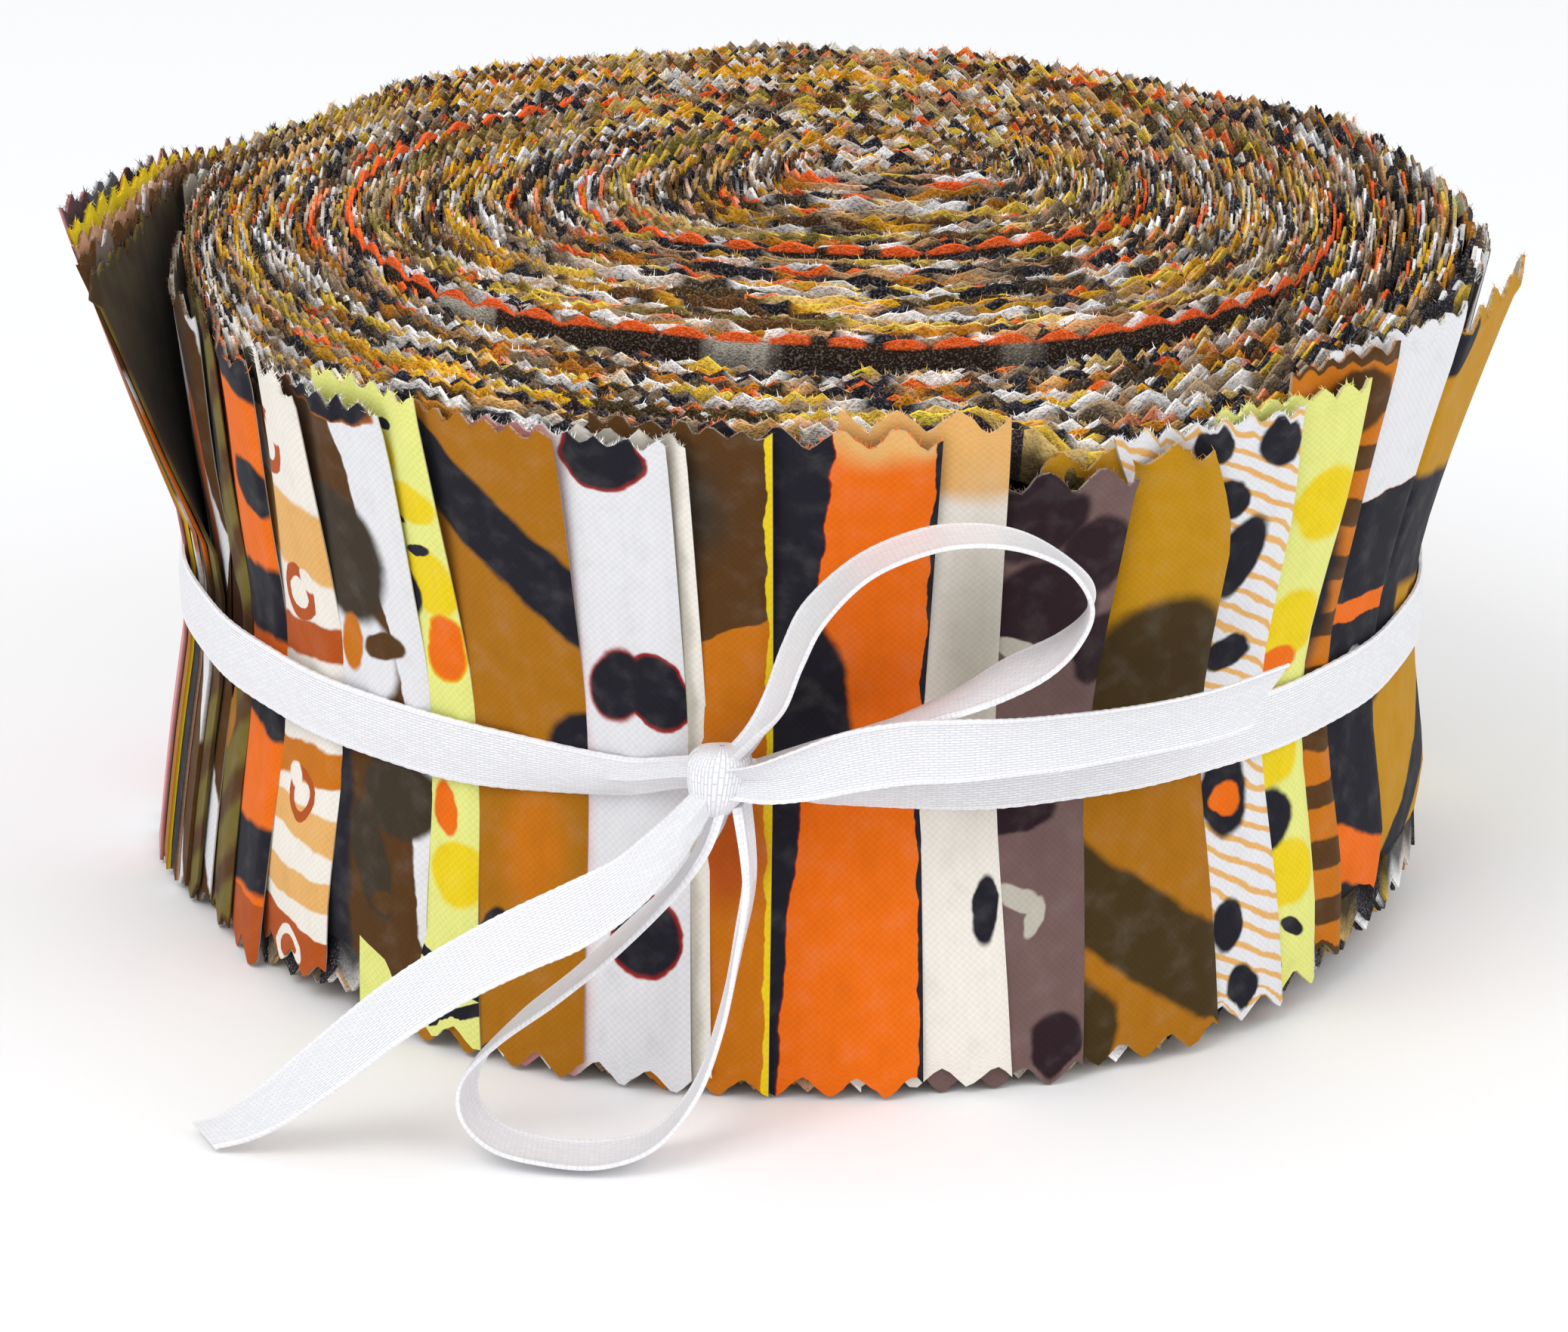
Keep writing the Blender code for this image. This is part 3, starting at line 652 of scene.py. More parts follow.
@dataclass(frozen=True)
class CottonFinish:
    """Plain woven cotton with one of the prints: a fine weave, slubs and a dry, slightly fuzzy face."""

    design: Print
    thread: float = 0.34
    weave_shade: float = 0.16
    smear: float = 0.9
    repeat_start: float = -2.0
    back_share: float = 0.88

    def printed(self, graph: Graph, cloth: Wire) -> Wire:
        """The print on the cloth's right side, its outlines a little uneven.

        Args:
            graph: The material's nodes.
            cloth: The place on the strip's own map.

        Returns:
            The colour.
        """
        repeat = {0: graph.part(cloth, "X"), 1: self.design.repeat + self.repeat_start, 2: self.repeat_start}
        across = graph.wire("Math", repeat, operation="WRAP")
        wrapped = graph.wire("CombineXYZ", {0: across, 1: graph.part(cloth, "Y")})
        shift = graph.noise(cloth, 0.22, 3.0, output=1)
        reach = (2.0 * self.smear, 2.0 * self.smear, 0.0)
        bent = graph.wire("VectorMath", {0: shift, 1: reach, 2: wrapped}, operation="MULTIPLY_ADD")
        place = graph.wire("VectorMath", {0: bent, 1: (self.smear, self.smear, 0.0)}, operation="SUBTRACT")
        colour = self.design.ground.linear
        for motif in self.design.motifs:
            colour = motif.print_on(graph, place, colour)
        return colour

    def weave(self, graph: Graph, cloth: Wire) -> Wire:
        """The height of the plain weave's threads, with some slubs, from 0 to 1."""
        slub = graph.noise(graph.placed(cloth, (0.0, 0.0), 0.0, (0.5, 3.0)), 1.0)
        return graph.woven(cloth, self.thread) * 0.32 + 0.2 + slub * 0.6

    def material(self) -> bpy.types.Material:
        """Makes the cloth's material, which reads the strip's own map in millimetres.

        Returns:
            The new material.
        """
        graph = Graph(self.design.name)
        cloth = graph.wire("UVMap", uv_map="cloth")
        colour = self.printed(graph, cloth)
        wash = graph.noise(cloth, 0.35, 4.0)
        colour = graph.mix(graph.step(wash, 0.45, 0.8) * 0.04, colour, Dye.CREAM.linear)
        colour = graph.mix(graph.step(wash, 0.5, 0.2) * 0.1, colour, Dye.CHARCOAL.linear)
        reverse = graph.wire("Attribute", output="Fac", attribute_name="reverse")
        colour = graph.mix(reverse * self.back_share, colour, self.design.back.linear)
        weave = self.weave(graph, cloth)
        shade = 1.0 + (weave - 0.5) * self.weave_shade
        return graph.finish(
            {
                "Base Color": graph.wire("HueSaturation", {"Value": shade, "Color": colour}),
                "Roughness": 0.92,
                "Specular IOR Level": 0.12,
                "Sheen Weight": 0.05,
                "Normal": graph.bump(weave, strength=0.35, distance=0.00006),
            }
        )


@dataclass(frozen=True)
class YarnFinish:
    """The pinked edges of the wound layers, coloured layer by layer, with a painted highlight on their crests
    and painted shade where they go down between the layers.
    """

    name: str = "pinked_edges"
    thread: float = 0.42
    lit_depth: float = 2.9
    crest_painted_highlight: float = 0.38
    speck_colour: tuple[float, ...] = (0.02, 0.014, 0.012, 1.0)
    painted_shade_colour: tuple[float, ...] = (0.006, 0.004, 0.004, 1.0)

    def material(self) -> bpy.types.Material:
        """Makes the material, which reads the layers' own colours and how far a point lies below its edge.

        Returns:
            The new material.
        """
        graph = Graph(self.name)
        colour = graph.wire("Attribute", output="Color", attribute_name="yarn")
        cloth = graph.wire("UVMap", uv_map="cloth")
        place = graph.wire("TexCoord", output="Object")
        speck = graph.noise(place, 5000.0)
        fuzz = graph.noise(place, 1100.0, 3.0)
        below = graph.part(cloth, "Y")
        # Painted highlight: the crests of the edges are made brighter.
        crest = 1.0 - graph.step(below, 0.0, 0.8)
        colour = graph.wire("HueSaturation", {"Value": 1.0 + crest * self.crest_painted_highlight, "Color": colour})
        colour = graph.mix(graph.step(speck, 0.5, 0.68) * 0.2, colour, Dye.CREAM.linear)
        colour = graph.mix(graph.step(speck, 0.45, 0.34) * 0.28, colour, self.speck_colour)
        colour = graph.mix(graph.step(fuzz, 0.44, 0.28) * 0.3, colour, Dye.NAVY.linear)
        # Painted shade: darker the further a point lies below its crest, down between the layers.
        colour = graph.mix(graph.step(below, 0.5, self.lit_depth) * 0.85, colour, self.painted_shade_colour)
        height = graph.woven(cloth, self.thread) * 0.3 + speck * 1.5 + fuzz
        return graph.finish(
            {
                "Base Color": colour,
                "Roughness": 0.95,
                "Specular IOR Level": 0.15,
                "Normal": graph.bump(height, strength=0.9, distance=0.00025),
            }
        )


@dataclass(frozen=True)
class SatinFinish:
    """White double-faced satin: long floats along the ribbon in a brick-like order, a raised selvage."""

    name: str = "white_satin"
    half_width: float = 2.85
    rib_pitch: float = 0.5

    def material(self) -> bpy.types.Material:
        """Makes the ribbon's material, which reads its map along and across in millimetres.

        Returns:
            The new material.
        """
        graph = Graph(self.name)
        cloth = graph.wire("UVMap", uv_map="cloth")
        bricks = {
            "Vector": cloth,
            "Color1": (1.0, 1.0, 1.0, 1.0),
            "Color2": (0.55, 0.55, 0.55, 1.0),
            "Mortar": (0.0, 0.0, 0.0, 1.0),
            "Scale": 1.0,
            "Mortar Size": 0.035,
            "Mortar Smooth": 0.6,
            "Brick Width": 0.9,
            "Row Height": 0.24,
        }
        floats = graph.wire("TexBrick", bricks, offset=0.5)
        away = graph.maths("ABSOLUTE", graph.part(cloth, "Y"))
        selvage = graph.step(away, self.half_width - 0.55, self.half_width - 0.35)
        ribs = graph.maths("SINE", graph.part(cloth, "X") * (2.0 * np.pi / self.rib_pitch)) * 0.5 + 0.5
        height = floats * (1.0 - selvage) * 0.6 + selvage * (ribs * 0.5 + 0.9)
        # Painted sheen and shade: the floats are lighter and the gaps between them darker, with a lilac tint.
        colour = graph.mix(floats, (0.72, 0.72, 0.77, 1.0), (0.93, 0.93, 0.95, 1.0))
        return graph.finish(
            {
                # Painted highlight: the raised ribs of the selvage are lighter.
                "Base Color": graph.mix(selvage * ribs * 0.5, colour, (0.97, 0.97, 0.98, 1.0)),
                "Roughness": 0.45 + selvage * 0.25,
                "Specular IOR Level": 0.5,
                "Sheen Weight": 0.2,
                "Normal": graph.bump(height, strength=0.8, distance=0.0001),
            }
        )


@dataclass
class Pile:
    """Thin closed shells of cloth, gathered until one mesh is made of them."""

    points: list[np.ndarray] = field(default_factory=list)
    faces: list[np.ndarray] = field(default_factory=list)
    places: list[np.ndarray] = field(default_factory=list)
    reverse: list[np.ndarray] = field(default_factory=list)
    yarn: list[np.ndarray] = field(default_factory=list)
    count: int = 0

    def add_shell(
        self,
        outer: np.ndarray,
        inner: np.ndarray,
        places: np.ndarray,
        outer_yarn: np.ndarray | None = None,
        inner_yarn: np.ndarray | None = None,
    ) -> None:
        """Adds one closed shell between two grids of points.

        Args:
            outer: The outer face's points, by row, column and x, y, z.
            inner: The inner face's points in the same order.
            places: Where each point lies on the cloth, by row, column and u, v, in mm.
            outer_yarn: The outer face's colours, by row and column, where the mesh has its own colours.
            inner_yarn: The same for the inner face.
        """
        rows, columns = outer.shape[:2]
        loop = self.around(outer, inner)
        round_step = 2 * columns
        start = np.arange(rows - 1)[:, None] * round_step
        column = np.arange(round_step)[None, :]
        following = (column + 1) % round_step
        above = start + round_step
        walls = np.stack([start + column, above + column, above + following, start + following], axis=-1)
        side = np.arange(columns - 1)
        back = round_step - 1 - side
        foot = np.stack([side, side + 1, back - 1, back], axis=-1)
        top = np.stack([side, back, back - 1, side + 1], axis=-1) + (rows - 1) * round_step
        faces = np.concatenate([walls.reshape(-1, 4), foot, top])
        if self.volume(loop, faces) < 0.0:
            faces = faces[:, ::-1]
        self.points.append(loop)
        self.faces.append(faces + self.count)
        self.places.append(self.around(places, places))
        facing = np.zeros((rows, round_step))
        facing[:, columns:] = 1.0
        self.reverse.append(facing.reshape(-1))
        if outer_yarn is not None:
            self.yarn.append(self.around(outer_yarn, inner_yarn))
        self.count += len(loop)

    @staticmethod
    def around(outer: np.ndarray, inner: np.ndarray) -> np.ndarray:
        """Both faces' values, row by row and each row once round the shell."""
        return np.concatenate([outer, inner[:, ::-1]], axis=1).reshape(-1, outer.shape[-1])

    def add_fibres(self, roots: np.ndarray, tips: np.ndarray, yarn: np.ndarray, width: float = 0.06) -> None:
        """Adds thin closed spikes, each with three sides.

        Args:
            roots: Where they start, by row and x, y, z.
            tips: Where they end, which is higher.
            yarn: Their colours.
            width: Half their width at the root.
        """
        angles = np.radians([90.0, 210.0, 330.0])
        ring = width * np.stack([np.cos(angles), np.sin(angles), np.zeros(3)], axis=-1)
        points = np.concatenate([roots[:, None, :] + ring[None, :, :], tips[:, None, :]], axis=1)
        sides = np.array([[0, 2, 1], [0, 1, 3], [1, 2, 3], [2, 0, 3]])
        faces = np.arange(len(roots))[:, None, None] * 4 + sides[None, :, :]
        self.points.append(points.reshape(-1, 3))
        self.faces.append(faces.reshape(-1, 3) + self.count)
        self.places.append(np.zeros((4 * len(roots), 2)))
        self.reverse.append(np.zeros(4 * len(roots)))
        self.yarn.append(np.repeat(yarn, 4, axis=0))
        self.count += 4 * len(roots)

    @staticmethod
    def volume(points: np.ndarray, faces: np.ndarray) -> float:
        """The signed volume inside the faces, which is above 0 where they look outwards."""
        corners = points[faces]
        first = np.cross(corners[:, 1] - corners[:, 0], corners[:, 2] - corners[:, 0])
        second = np.cross(corners[:, 2] - corners[:, 0], corners[:, 3] - corners[:, 0])
        return float(np.sum(corners[:, 0] * (first + second)))

    def make(self, name: str, material: bpy.types.Material) -> bpy.types.Object:
        """Makes one object of all the shells.

        Args:
            name: The object's name.
            material: What it is dressed in.

        Returns:
            The new object, at the origin.
        """
        points = np.concatenate(self.points) * MM
        faces = np.concatenate(self.faces).astype(np.int32)
        mesh = bpy.data.meshes.new(name)
        mesh.vertices.add(len(points))
        mesh.vertices.foreach_set("co", points.astype(np.float32).ravel())
        mesh.loops.add(faces.size)
        mesh.loops.foreach_set("vertex_index", faces.ravel())
        mesh.polygons.add(len(faces))
        mesh.polygons.foreach_set("loop_start", np.arange(len(faces), dtype=np.int32) * faces.shape[1])
        mesh.update(calc_edges=True)
        layer = mesh.uv_layers.new(name="cloth")
        layer.data.foreach_set("uv", np.concatenate(self.places)[faces.ravel()].astype(np.float32).ravel())
        facing = mesh.attributes.new("reverse", "FLOAT", "POINT")
        facing.data.foreach_set("value", np.concatenate(self.reverse).astype(np.float32))
        if self.yarn:
            colours = mesh.attributes.new("yarn", "FLOAT_COLOR", "POINT")
            colours.data.foreach_set("color", np.concatenate(self.yarn).astype(np.float32).ravel())
        mesh.materials.append(material)
        piece = bpy.data.objects.new(name, mesh)
        bpy.context.scene.collection.objects.link(piece)
        mesh.shade_smooth()
        mesh.set_sharp_from_angle(angle=np.radians(50.0))
        LOG.info("%s: %d triangles", name, (faces.shape[1] - 2) * len(faces))
        return piece

    @classmethod
    def of_shell(
        cls, name: str, material: bpy.types.Material, shell: tuple[np.ndarray, ...]
    ) -> bpy.types.Object:
        """Makes one object of a single shell."""
        pile = cls()
        pile.add_shell(*shell)
        return pile.make(name, material)


@dataclass(frozen=True)
class RollForm:
    """The roll's own shape: radius, share of the flare and shingle step by height, as in the solids."""

    top: float = 61.8
    ribbon_height: float = 28.4
    heights: tuple[float, ...] = (0.25, 5.5, 15.0, 23.8, 33.0, 42.0, 52.5, 61.8)
    radii: tuple[float, ...] = (59.0, 58.6, 57.6, 56.4, 56.4, 58.0, 59.2, 60.2)
    flares: tuple[float, ...] = (0.0, 0.0, 0.0, 0.0, 0.0, 0.15, 0.55, 1.0)
    steps: tuple[float, ...] = (1.0, 0.9, 0.7, 0.5, 0.5, 0.7, 1.0, 1.2)
    flare_in_front: float = 2.6
    back_loss_at_top: float = 1.6
    hollow: float = 2.1
    loose_start: float = 146.0
    loose_edge: float = 199.0
    hollow_end: float = 228.0

    def by_height(self, table: tuple[float, ...], height: np.ndarray) -> np.ndarray:
        """A table's value at these heights, rounded off between its rows."""
        return eased(height, self.heights, table, 3.0)

    def flare(self, degrees: np.ndarray) -> np.ndarray:
        """How far the tops lean out there: most at the front and sides, least behind."""
        return self.flare_in_front * smooth(1.0 - depth_share(degrees), 0.25, 0.6)

    def back_loss(self, degrees: np.ndarray, height: np.ndarray) -> np.ndarray:
        """How much narrower the roll is towards its top behind."""
        return self.back_loss_at_top * smooth(depth_share(degrees), 0.45, 0.8) * smooth(height, 30.0, 60.0)

    def covered(self, degrees: np.ndarray) -> np.ndarray:
        """How much the loose end covers the roll there, from 0 to 1."""
        turned = np.mod(degrees, 360.0)
        started = smooth(turned, self.loose_start - 14.0, self.loose_start - 1.0)
        return started - smooth(turned, self.loose_edge, self.hollow_end)

    def side(self, degrees: np.ndarray, height: np.ndarray, flare: Any = 0.0) -> np.ndarray:
        """The side's middle radius at these angles and heights.

        Args:
            degrees: The angles.
            height: The heights.
            flare: How much further a shingle's top leans out there.

        Returns:
            The radii.
        """
        covered = self.covered(degrees)
        leaning = self.by_height(self.flares, height) * (self.flare(degrees) + flare) * (1.0 - covered)
        radius = self.by_height(self.radii, height) + leaning
        return radius - self.hollow * covered - self.back_loss(degrees, height)

    def step(self, height: np.ndarray) -> np.ndarray:
        """How much further out a shingle's free edge lies than its covered side, at these heights."""
        return self.by_height(self.steps, height)


FORM = RollForm()
SIDE_RADIUS = 58.0
MM_PER_DEGREE = np.radians(SIDE_RADIUS)


@dataclass(frozen=True)
class Strip:
    """A folded strip's end on the roll's side: its print, its free edge's angles above and below, its set."""

    design: Print
    high: float
    low: float
    rise: float = 0.0
    flare: float = 0.0
    foot: float = 0.0
    shift: float = 0.0
    fine: bool = False
    tuck: float = 0.0
    low_mark: float = 8.0
    high_mark: float = 55.0

    def edge(self, height: np.ndarray) -> np.ndarray:
        """The free edge's angle at these heights, with its upper corner turned in by the tuck."""
        share = (height - self.low_mark) / (self.high_mark - self.low_mark)
        return self.low + (self.high - self.low) * share - self.tuck * smooth(height, 46.0, 62.0)


FRONT_STRIPS = (
    Strip(BROWN_WHITE, high=-160.0, low=-160.0, rise=-3.4, flare=-0.4),
    Strip(OLIVE_SPECKS, high=-153.5, low=-153.5, rise=-3.2, flare=-0.4),
    Strip(ORANGE_NAVY, high=-143.0, low=-145.6, rise=-3.2, flare=-0.4),
    Strip(CREAM_CURLS, high=-134.0, low=-135.2, rise=-1.9, flare=0.2, foot=2.0),
    Strip(CHARCOAL_WHITE, high=-125.0, low=-123.5, rise=-2.4, flare=0.3, foot=3.8, fine=True),
    Strip(LIME_DOTS, high=-121.0, low=-118.0, rise=-0.6, foot=1.0, fine=True),
    Strip(MUSTARD_SWEEP, high=-109.2, low=-108.0, rise=-1.3, flare=0.4, foot=0.3, fine=True),
    Strip(WHITE_BLOTS, high=-100.3, low=-98.7, rise=-1.3, flare=0.5, foot=0.2, fine=True),
    Strip(PLAIN_BEIGE, high=-98.7, low=-97.0, rise=-0.9, flare=0.3, foot=0.2, fine=True),
    Strip(BROWN_OCHRE, high=-92.3, low=-92.0, rise=0.2, flare=0.2, fine=True),
    Strip(ORANGE_BLACK, high=-79.4, low=-79.0, rise=0.3, flare=0.4, foot=0.2),
    Strip(TAN_CREAM, high=-73.9, low=-71.5, rise=1.6, flare=0.3, foot=0.6),
    Strip(MAUVE_PATCHES, high=-63.0, low=-64.5, rise=-4.7, flare=0.2),
    Strip(GOLD_DOME, high=-52.6, low=-50.8, rise=-3.4, flare=1.0, foot=0.7, tuck=4.6),
    Strip(WHITE_LEAVES, high=-45.9, low=-42.7, rise=-2.1, flare=0.4, foot=1.4, fine=True, tuck=1.5),
    Strip(LIME_YELLOW, high=-38.6, low=-37.5, rise=-1.4, flare=0.6, foot=2.0, fine=True, tuck=1.4),
    Strip(OCHRE_STRIPES, high=-35.8, low=-32.7, rise=0.9, flare=0.4, foot=3.0, fine=True),
    Strip(BLACK_ORANGE, high=-25.2, low=-23.8, rise=1.4, flare=0.6, foot=4.4, fine=True),
    Strip(MUSTARD_BLACK, high=-5.8, low=-5.7, rise=-0.4, flare=1.6, foot=5.0),
)
BACK_PRINTS = (
    CHARCOAL_WHITE, MUSTARD_SWEEP, LIME_DOTS, ORANGE_BLACK, SLATE_GREY, GOLD_DOME, WHITE_LEAVES,
    BROWN_OCHRE, OCHRE_STRIPES, MAUVE_PATCHES, CREAM_CURLS, ORANGE_NAVY, OLIVE_SPECKS, WHITE_BLOTS,
    BLACK_ORANGE, TAN_CREAM, LIME_YELLOW, MUSTARD_BLACK, BROWN_WHITE, PLAIN_BEIGE,
)


@dataclass
class Shingles:
    """The strips' ends that make up the roll's side, each a folded sheet with a free rounded edge."""

    thickness: float = 0.42
    overlap: float = 8.0
    rows: int = 16
    back_pitch: float = 9.2
    back_end: float = 177.0
    hump: float = 1.4
    foot_in_front: float = 5.0
    teeth: float = 0.9
    fine_teeth: float = 0.5
    wave: float = 0.27
    pucker: float = 0.12
    foot_draw: float = 0.315
    foot_reach: float = 9.0
    edge_rounding: float = 0.14
    tops: list[tuple[np.ndarray, Dye]] = field(default_factory=list)

    def strips(self) -> list[Strip]:
        """All the strips in order of their angle, the measured ones in front and uneven ones behind.

        Returns:
            The strips.
        """
        draw = np.random.default_rng(SEED)
        strips = list(FRONT_STRIPS)
        edge = strips[-1].high
        index = 0
        while edge < self.back_end - 5.0:
            edge = min(edge + self.back_pitch * draw.uniform(0.85, 1.2), self.back_end)
            lean = draw.uniform(-1.2, 1.2)
            strips.append(
                Strip(
                    BACK_PRINTS[index % len(BACK_PRINTS)],
                    high=edge,
                    low=edge + lean,
                    rise=draw.uniform(-1.4, 0.2) + self.hump * float(np.exp(-(((edge - 24.0) / 22.0) ** 2))),
                    flare=draw.uniform(-0.2, 0.6),
                    foot=self.foot_in_front * (1.0 - float(smooth(edge, 0.0, 60.0))),
                    shift=draw.uniform(4.0, 22.0),
                    fine=index % 2 == 0,
                )
            )
            index += 1
        return strips

    def radius(
        self, strip: Strip, neighbour: Strip, u: np.ndarray, v: np.ndarray, draw: np.random.Generator
    ) -> np.ndarray:
        """How far out a strip's points lie: it slants under its neighbour, and waves and puckers a little.

        Args:
            strip: The strip.
            neighbour: The strip at its left, which covers its other side.
            u: How far the points are from the strip's free edge.
            v: Their heights.
            draw: Where the small irregularities come from.

        Returns:
            The points' radii.
        """
        seen = self.seen(strip, neighbour, v)
        share = u / seen
        covered = u - seen
        degrees = strip.edge(v) - u / MM_PER_DEGREE
        radius = FORM.side(degrees, v, strip.flare) + FORM.step(v) * (0.5 - np.minimum(share, 1.0))
        radius -= 0.3 * smooth(covered, 0.0, 4.0) + 0.4 * (1.0 - smooth(u, 0.0, 1.5))
        outflare = max(strip.flare - neighbour.flare, 0.0)
        radius -= (0.3 + 1.4 * outflare) * smooth(v, 30.0, 52.0) * smooth(covered, -2.2, 0.6)
        phase = draw.uniform(0.0, 2.0 * np.pi, 3)
        fade = 1.0 - smooth(share, 0.75, 1.0)
        waves = np.sin(1.1 * np.pi * u / 9.0 + phase[0]) + 0.5 * np.sin(u / 3.7 + v / 9.0 + phase[1])
        radius += self.wave * fade * smooth(v, 38.0, 58.0) * waves
        from_ribbon = v - FORM.ribbon_height
        pucker = np.sin(u * 2.0 * np.pi / 5.2 + phase[2] + 0.08 * from_ribbon)
        radius += self.pucker * fade * pucker * np.exp(-np.abs(from_ribbon) / 7.0)
        drawn = smooth(self.foot_reach - (v - strip.foot), 0.0, self.foot_reach)
        return radius - self.foot_draw * strip.foot * drawn

    @staticmethod
    def seen(strip: Strip, neighbour: Strip, height: np.ndarray) -> np.ndarray:
        """How wide a strip shows beside its neighbour at these heights."""
        return (strip.edge(height) - neighbour.edge(height)) % 360.0 * MM_PER_DEGREE

    def sheet(self, strip: Strip, neighbour: Strip, draw: np.random.Generator) -> tuple[np.ndarray, ...]:
        """One strip's points.

        Args:
            strip: The strip.
            neighbour: The strip at its left, which covers its other side.
            draw: Where the small irregularities come from.

        Returns:
            The outer points, the inner points and their places on the cloth, by row and column.
        """
        shares = strip_rows(self.rows)[:, None]
        span = FORM.top + strip.rise - strip.foot
        v = strip.foot + span * shares
        width = self.seen(strip, neighbour, v) + self.overlap
        columns = int(np.ceil(width[-1, 0] / POINT_STEP)) + 1
        begin = draw.uniform(0.0, 4.0)
        u = np.arange(columns)[None, :] / (columns - 1) * width
        notch = self.teeth * TOOTH_DEPTH * tooth_notch(u, begin)
        upper_notch = notch
        if strip.fine:
            upper_notch = self.fine_teeth * TOOTH_DEPTH * tooth_notch(u, begin, FINE_PITCH)
        pinked = pinked_share((1.0 - shares) * span)
        footed = pinked_share(shares * span)
        ragged = draw.normal(0.0, 0.12, columns)[None, :]
        height = v + (ragged - upper_notch) * pinked + (notch + np.abs(ragged)) * footed
        height = np.maximum(height, TABLE_CLEARANCE)
        radius = self.radius(strip, neighbour, u, v, draw)
        rounding = np.where(np.arange(columns) == 0, self.edge_rounding, 0.0)[None, :]
        degrees = strip.edge(v) - u / MM_PER_DEGREE
        outer = on_circle(degrees, radius - rounding, height)
        inner = on_circle(degrees, radius - self.thickness + rounding, height)
        return outer, inner, on_cloth(u + strip.shift, v)

    def build(self) -> list[bpy.types.Object]:
        """Makes one piece for each print, of all the strips that have it.

        Returns:
            The new pieces.
        """
        draw = np.random.default_rng(SEED + 1)
        strips = self.strips()
        piles: dict[Print, Pile] = {}
        for index, strip in enumerate(strips):
            sheet = self.sheet(strip, strips[index - 1], draw)
            piles.setdefault(strip.design, Pile()).add_shell(*sheet)
            self.tops.append((top_line(sheet), strip.design.ground))
        return [
            pile.make(f"strips_{design.name}", CottonFinish(design).material())
            for design, pile in piles.items()
        ]


LOOSE_PRINTS = (
    replace(WHITE_BLOTS, name="loose_white_with_blots", back=Dye.NAVY),
    replace(MUSTARD_SWEEP, name="loose_mustard_with_sweep", back=Dye.YELLOW),
    replace(CHARCOAL_WHITE, name="loose_charcoal_on_white", back=Dye.ROSE_TAN),
    replace(BROWN_WHITE, name="loose_brown_and_white", back=Dye.DARK_BROWN),
    OLIVE_SPECKS,
)
LOOSE_EDGES = (182.0, 186.0, 190.0, 194.5, 199.0)


@dataclass(frozen=True)
class Turn:
    """A point of the bundle's outermost strip as it winds inwards: angle, radius, gap outside it."""

    angle: float
    radius: float
    gap: float = 0.25


TURNS = (
    Turn(angle=-1300.0, radius=1.2),
    Turn(angle=-1080.0, radius=2.4),
    Turn(angle=-990.0, radius=3.4),
    Turn(angle=-900.0, radius=4.6),
    Turn(angle=-810.0, radius=6.0, gap=0.6),
    Turn(angle=-765.0, radius=7.0),
    Turn(angle=-720.0, radius=9.0),
    Turn(angle=-675.0, radius=13.0),
    Turn(angle=-630.0, radius=19.0),
    Turn(angle=-585.0, radius=23.0),
    Turn(angle=-540.0, radius=24.6),
    Turn(angle=-495.0, radius=24.0, gap=0.6),
    Turn(angle=-450.0, radius=22.6, gap=1.6),
    Turn(angle=-405.0, radius=23.6, gap=1.6),
    Turn(angle=-355.0, radius=27.0, gap=0.4),
    Turn(angle=-315.0, radius=33.0),
    Turn(angle=-270.0, radius=40.0),
    Turn(angle=-225.0, radius=42.6),
    Turn(angle=-180.0, radius=43.6),
    Turn(angle=-150.0, radius=42.8),
    Turn(angle=-136.0, radius=41.8, gap=1.4),
    Turn(angle=-120.0, radius=40.4, gap=2.8),
    Turn(angle=-90.0, radius=40.0, gap=2.8),
    Turn(angle=-60.0, radius=41.2, gap=2.8),
    Turn(angle=-44.0, radius=42.4, gap=1.6),
    Turn(angle=-28.0, radius=43.6, gap=0.5),
    Turn(angle=0.0, radius=45.5),
    Turn(angle=30.0, radius=49.0),
    Turn(angle=60.0, radius=52.5),
    Turn(angle=120.0, radius=56.0),
    Turn(angle=182.0, radius=58.9),
)

# The winding's height at these unwrapped angles.
CREST_HEIGHTS = {
    -1200.0: 61.6, -810.0: 62.2, -720.0: 62.6, -630.0: 62.5, -510.0: 62.8, -470.0: 63.7, -410.0: 63.7,
    -375.0: 62.7, -330.0: 62.3, -270.0: 62.2, -180.0: 62.4, -150.0: 62.9, -120.0: 63.4, -60.0: 63.4,
    -30.0: 62.9, 0.0: 62.4, 90.0: 61.7, 182.0: 61.7, 270.0: 61.2, 360.0: 61.8, 540.0: 61.6,
}


@dataclass(frozen=True)
class Ply:
    """One layer of a folded strip in the roll: its free end's unwrapped angle, its print, place and set."""

    end: float
    design: Print
    order: float
    inner_end: float
    height: float
    phase: float
    seed: int
    fine: float


@dataclass(frozen=True)
class Patch:
    """A white place on the dark face of the ring: its angle, half its width in degrees, how white it is."""

    angle: float
    half: float
    strength: float

    def share(self, degrees: np.ndarray, spread: float) -> np.ndarray:
        """How white these angles are, with soft sides, for a part of the patch that is this much as wide."""
        away = np.abs(degrees - self.angle - 2.0 * (1.0 - spread))
        return self.strength * (1.0 - smooth(away, spread * self.half - 1.0, spread * self.half + 1.0))


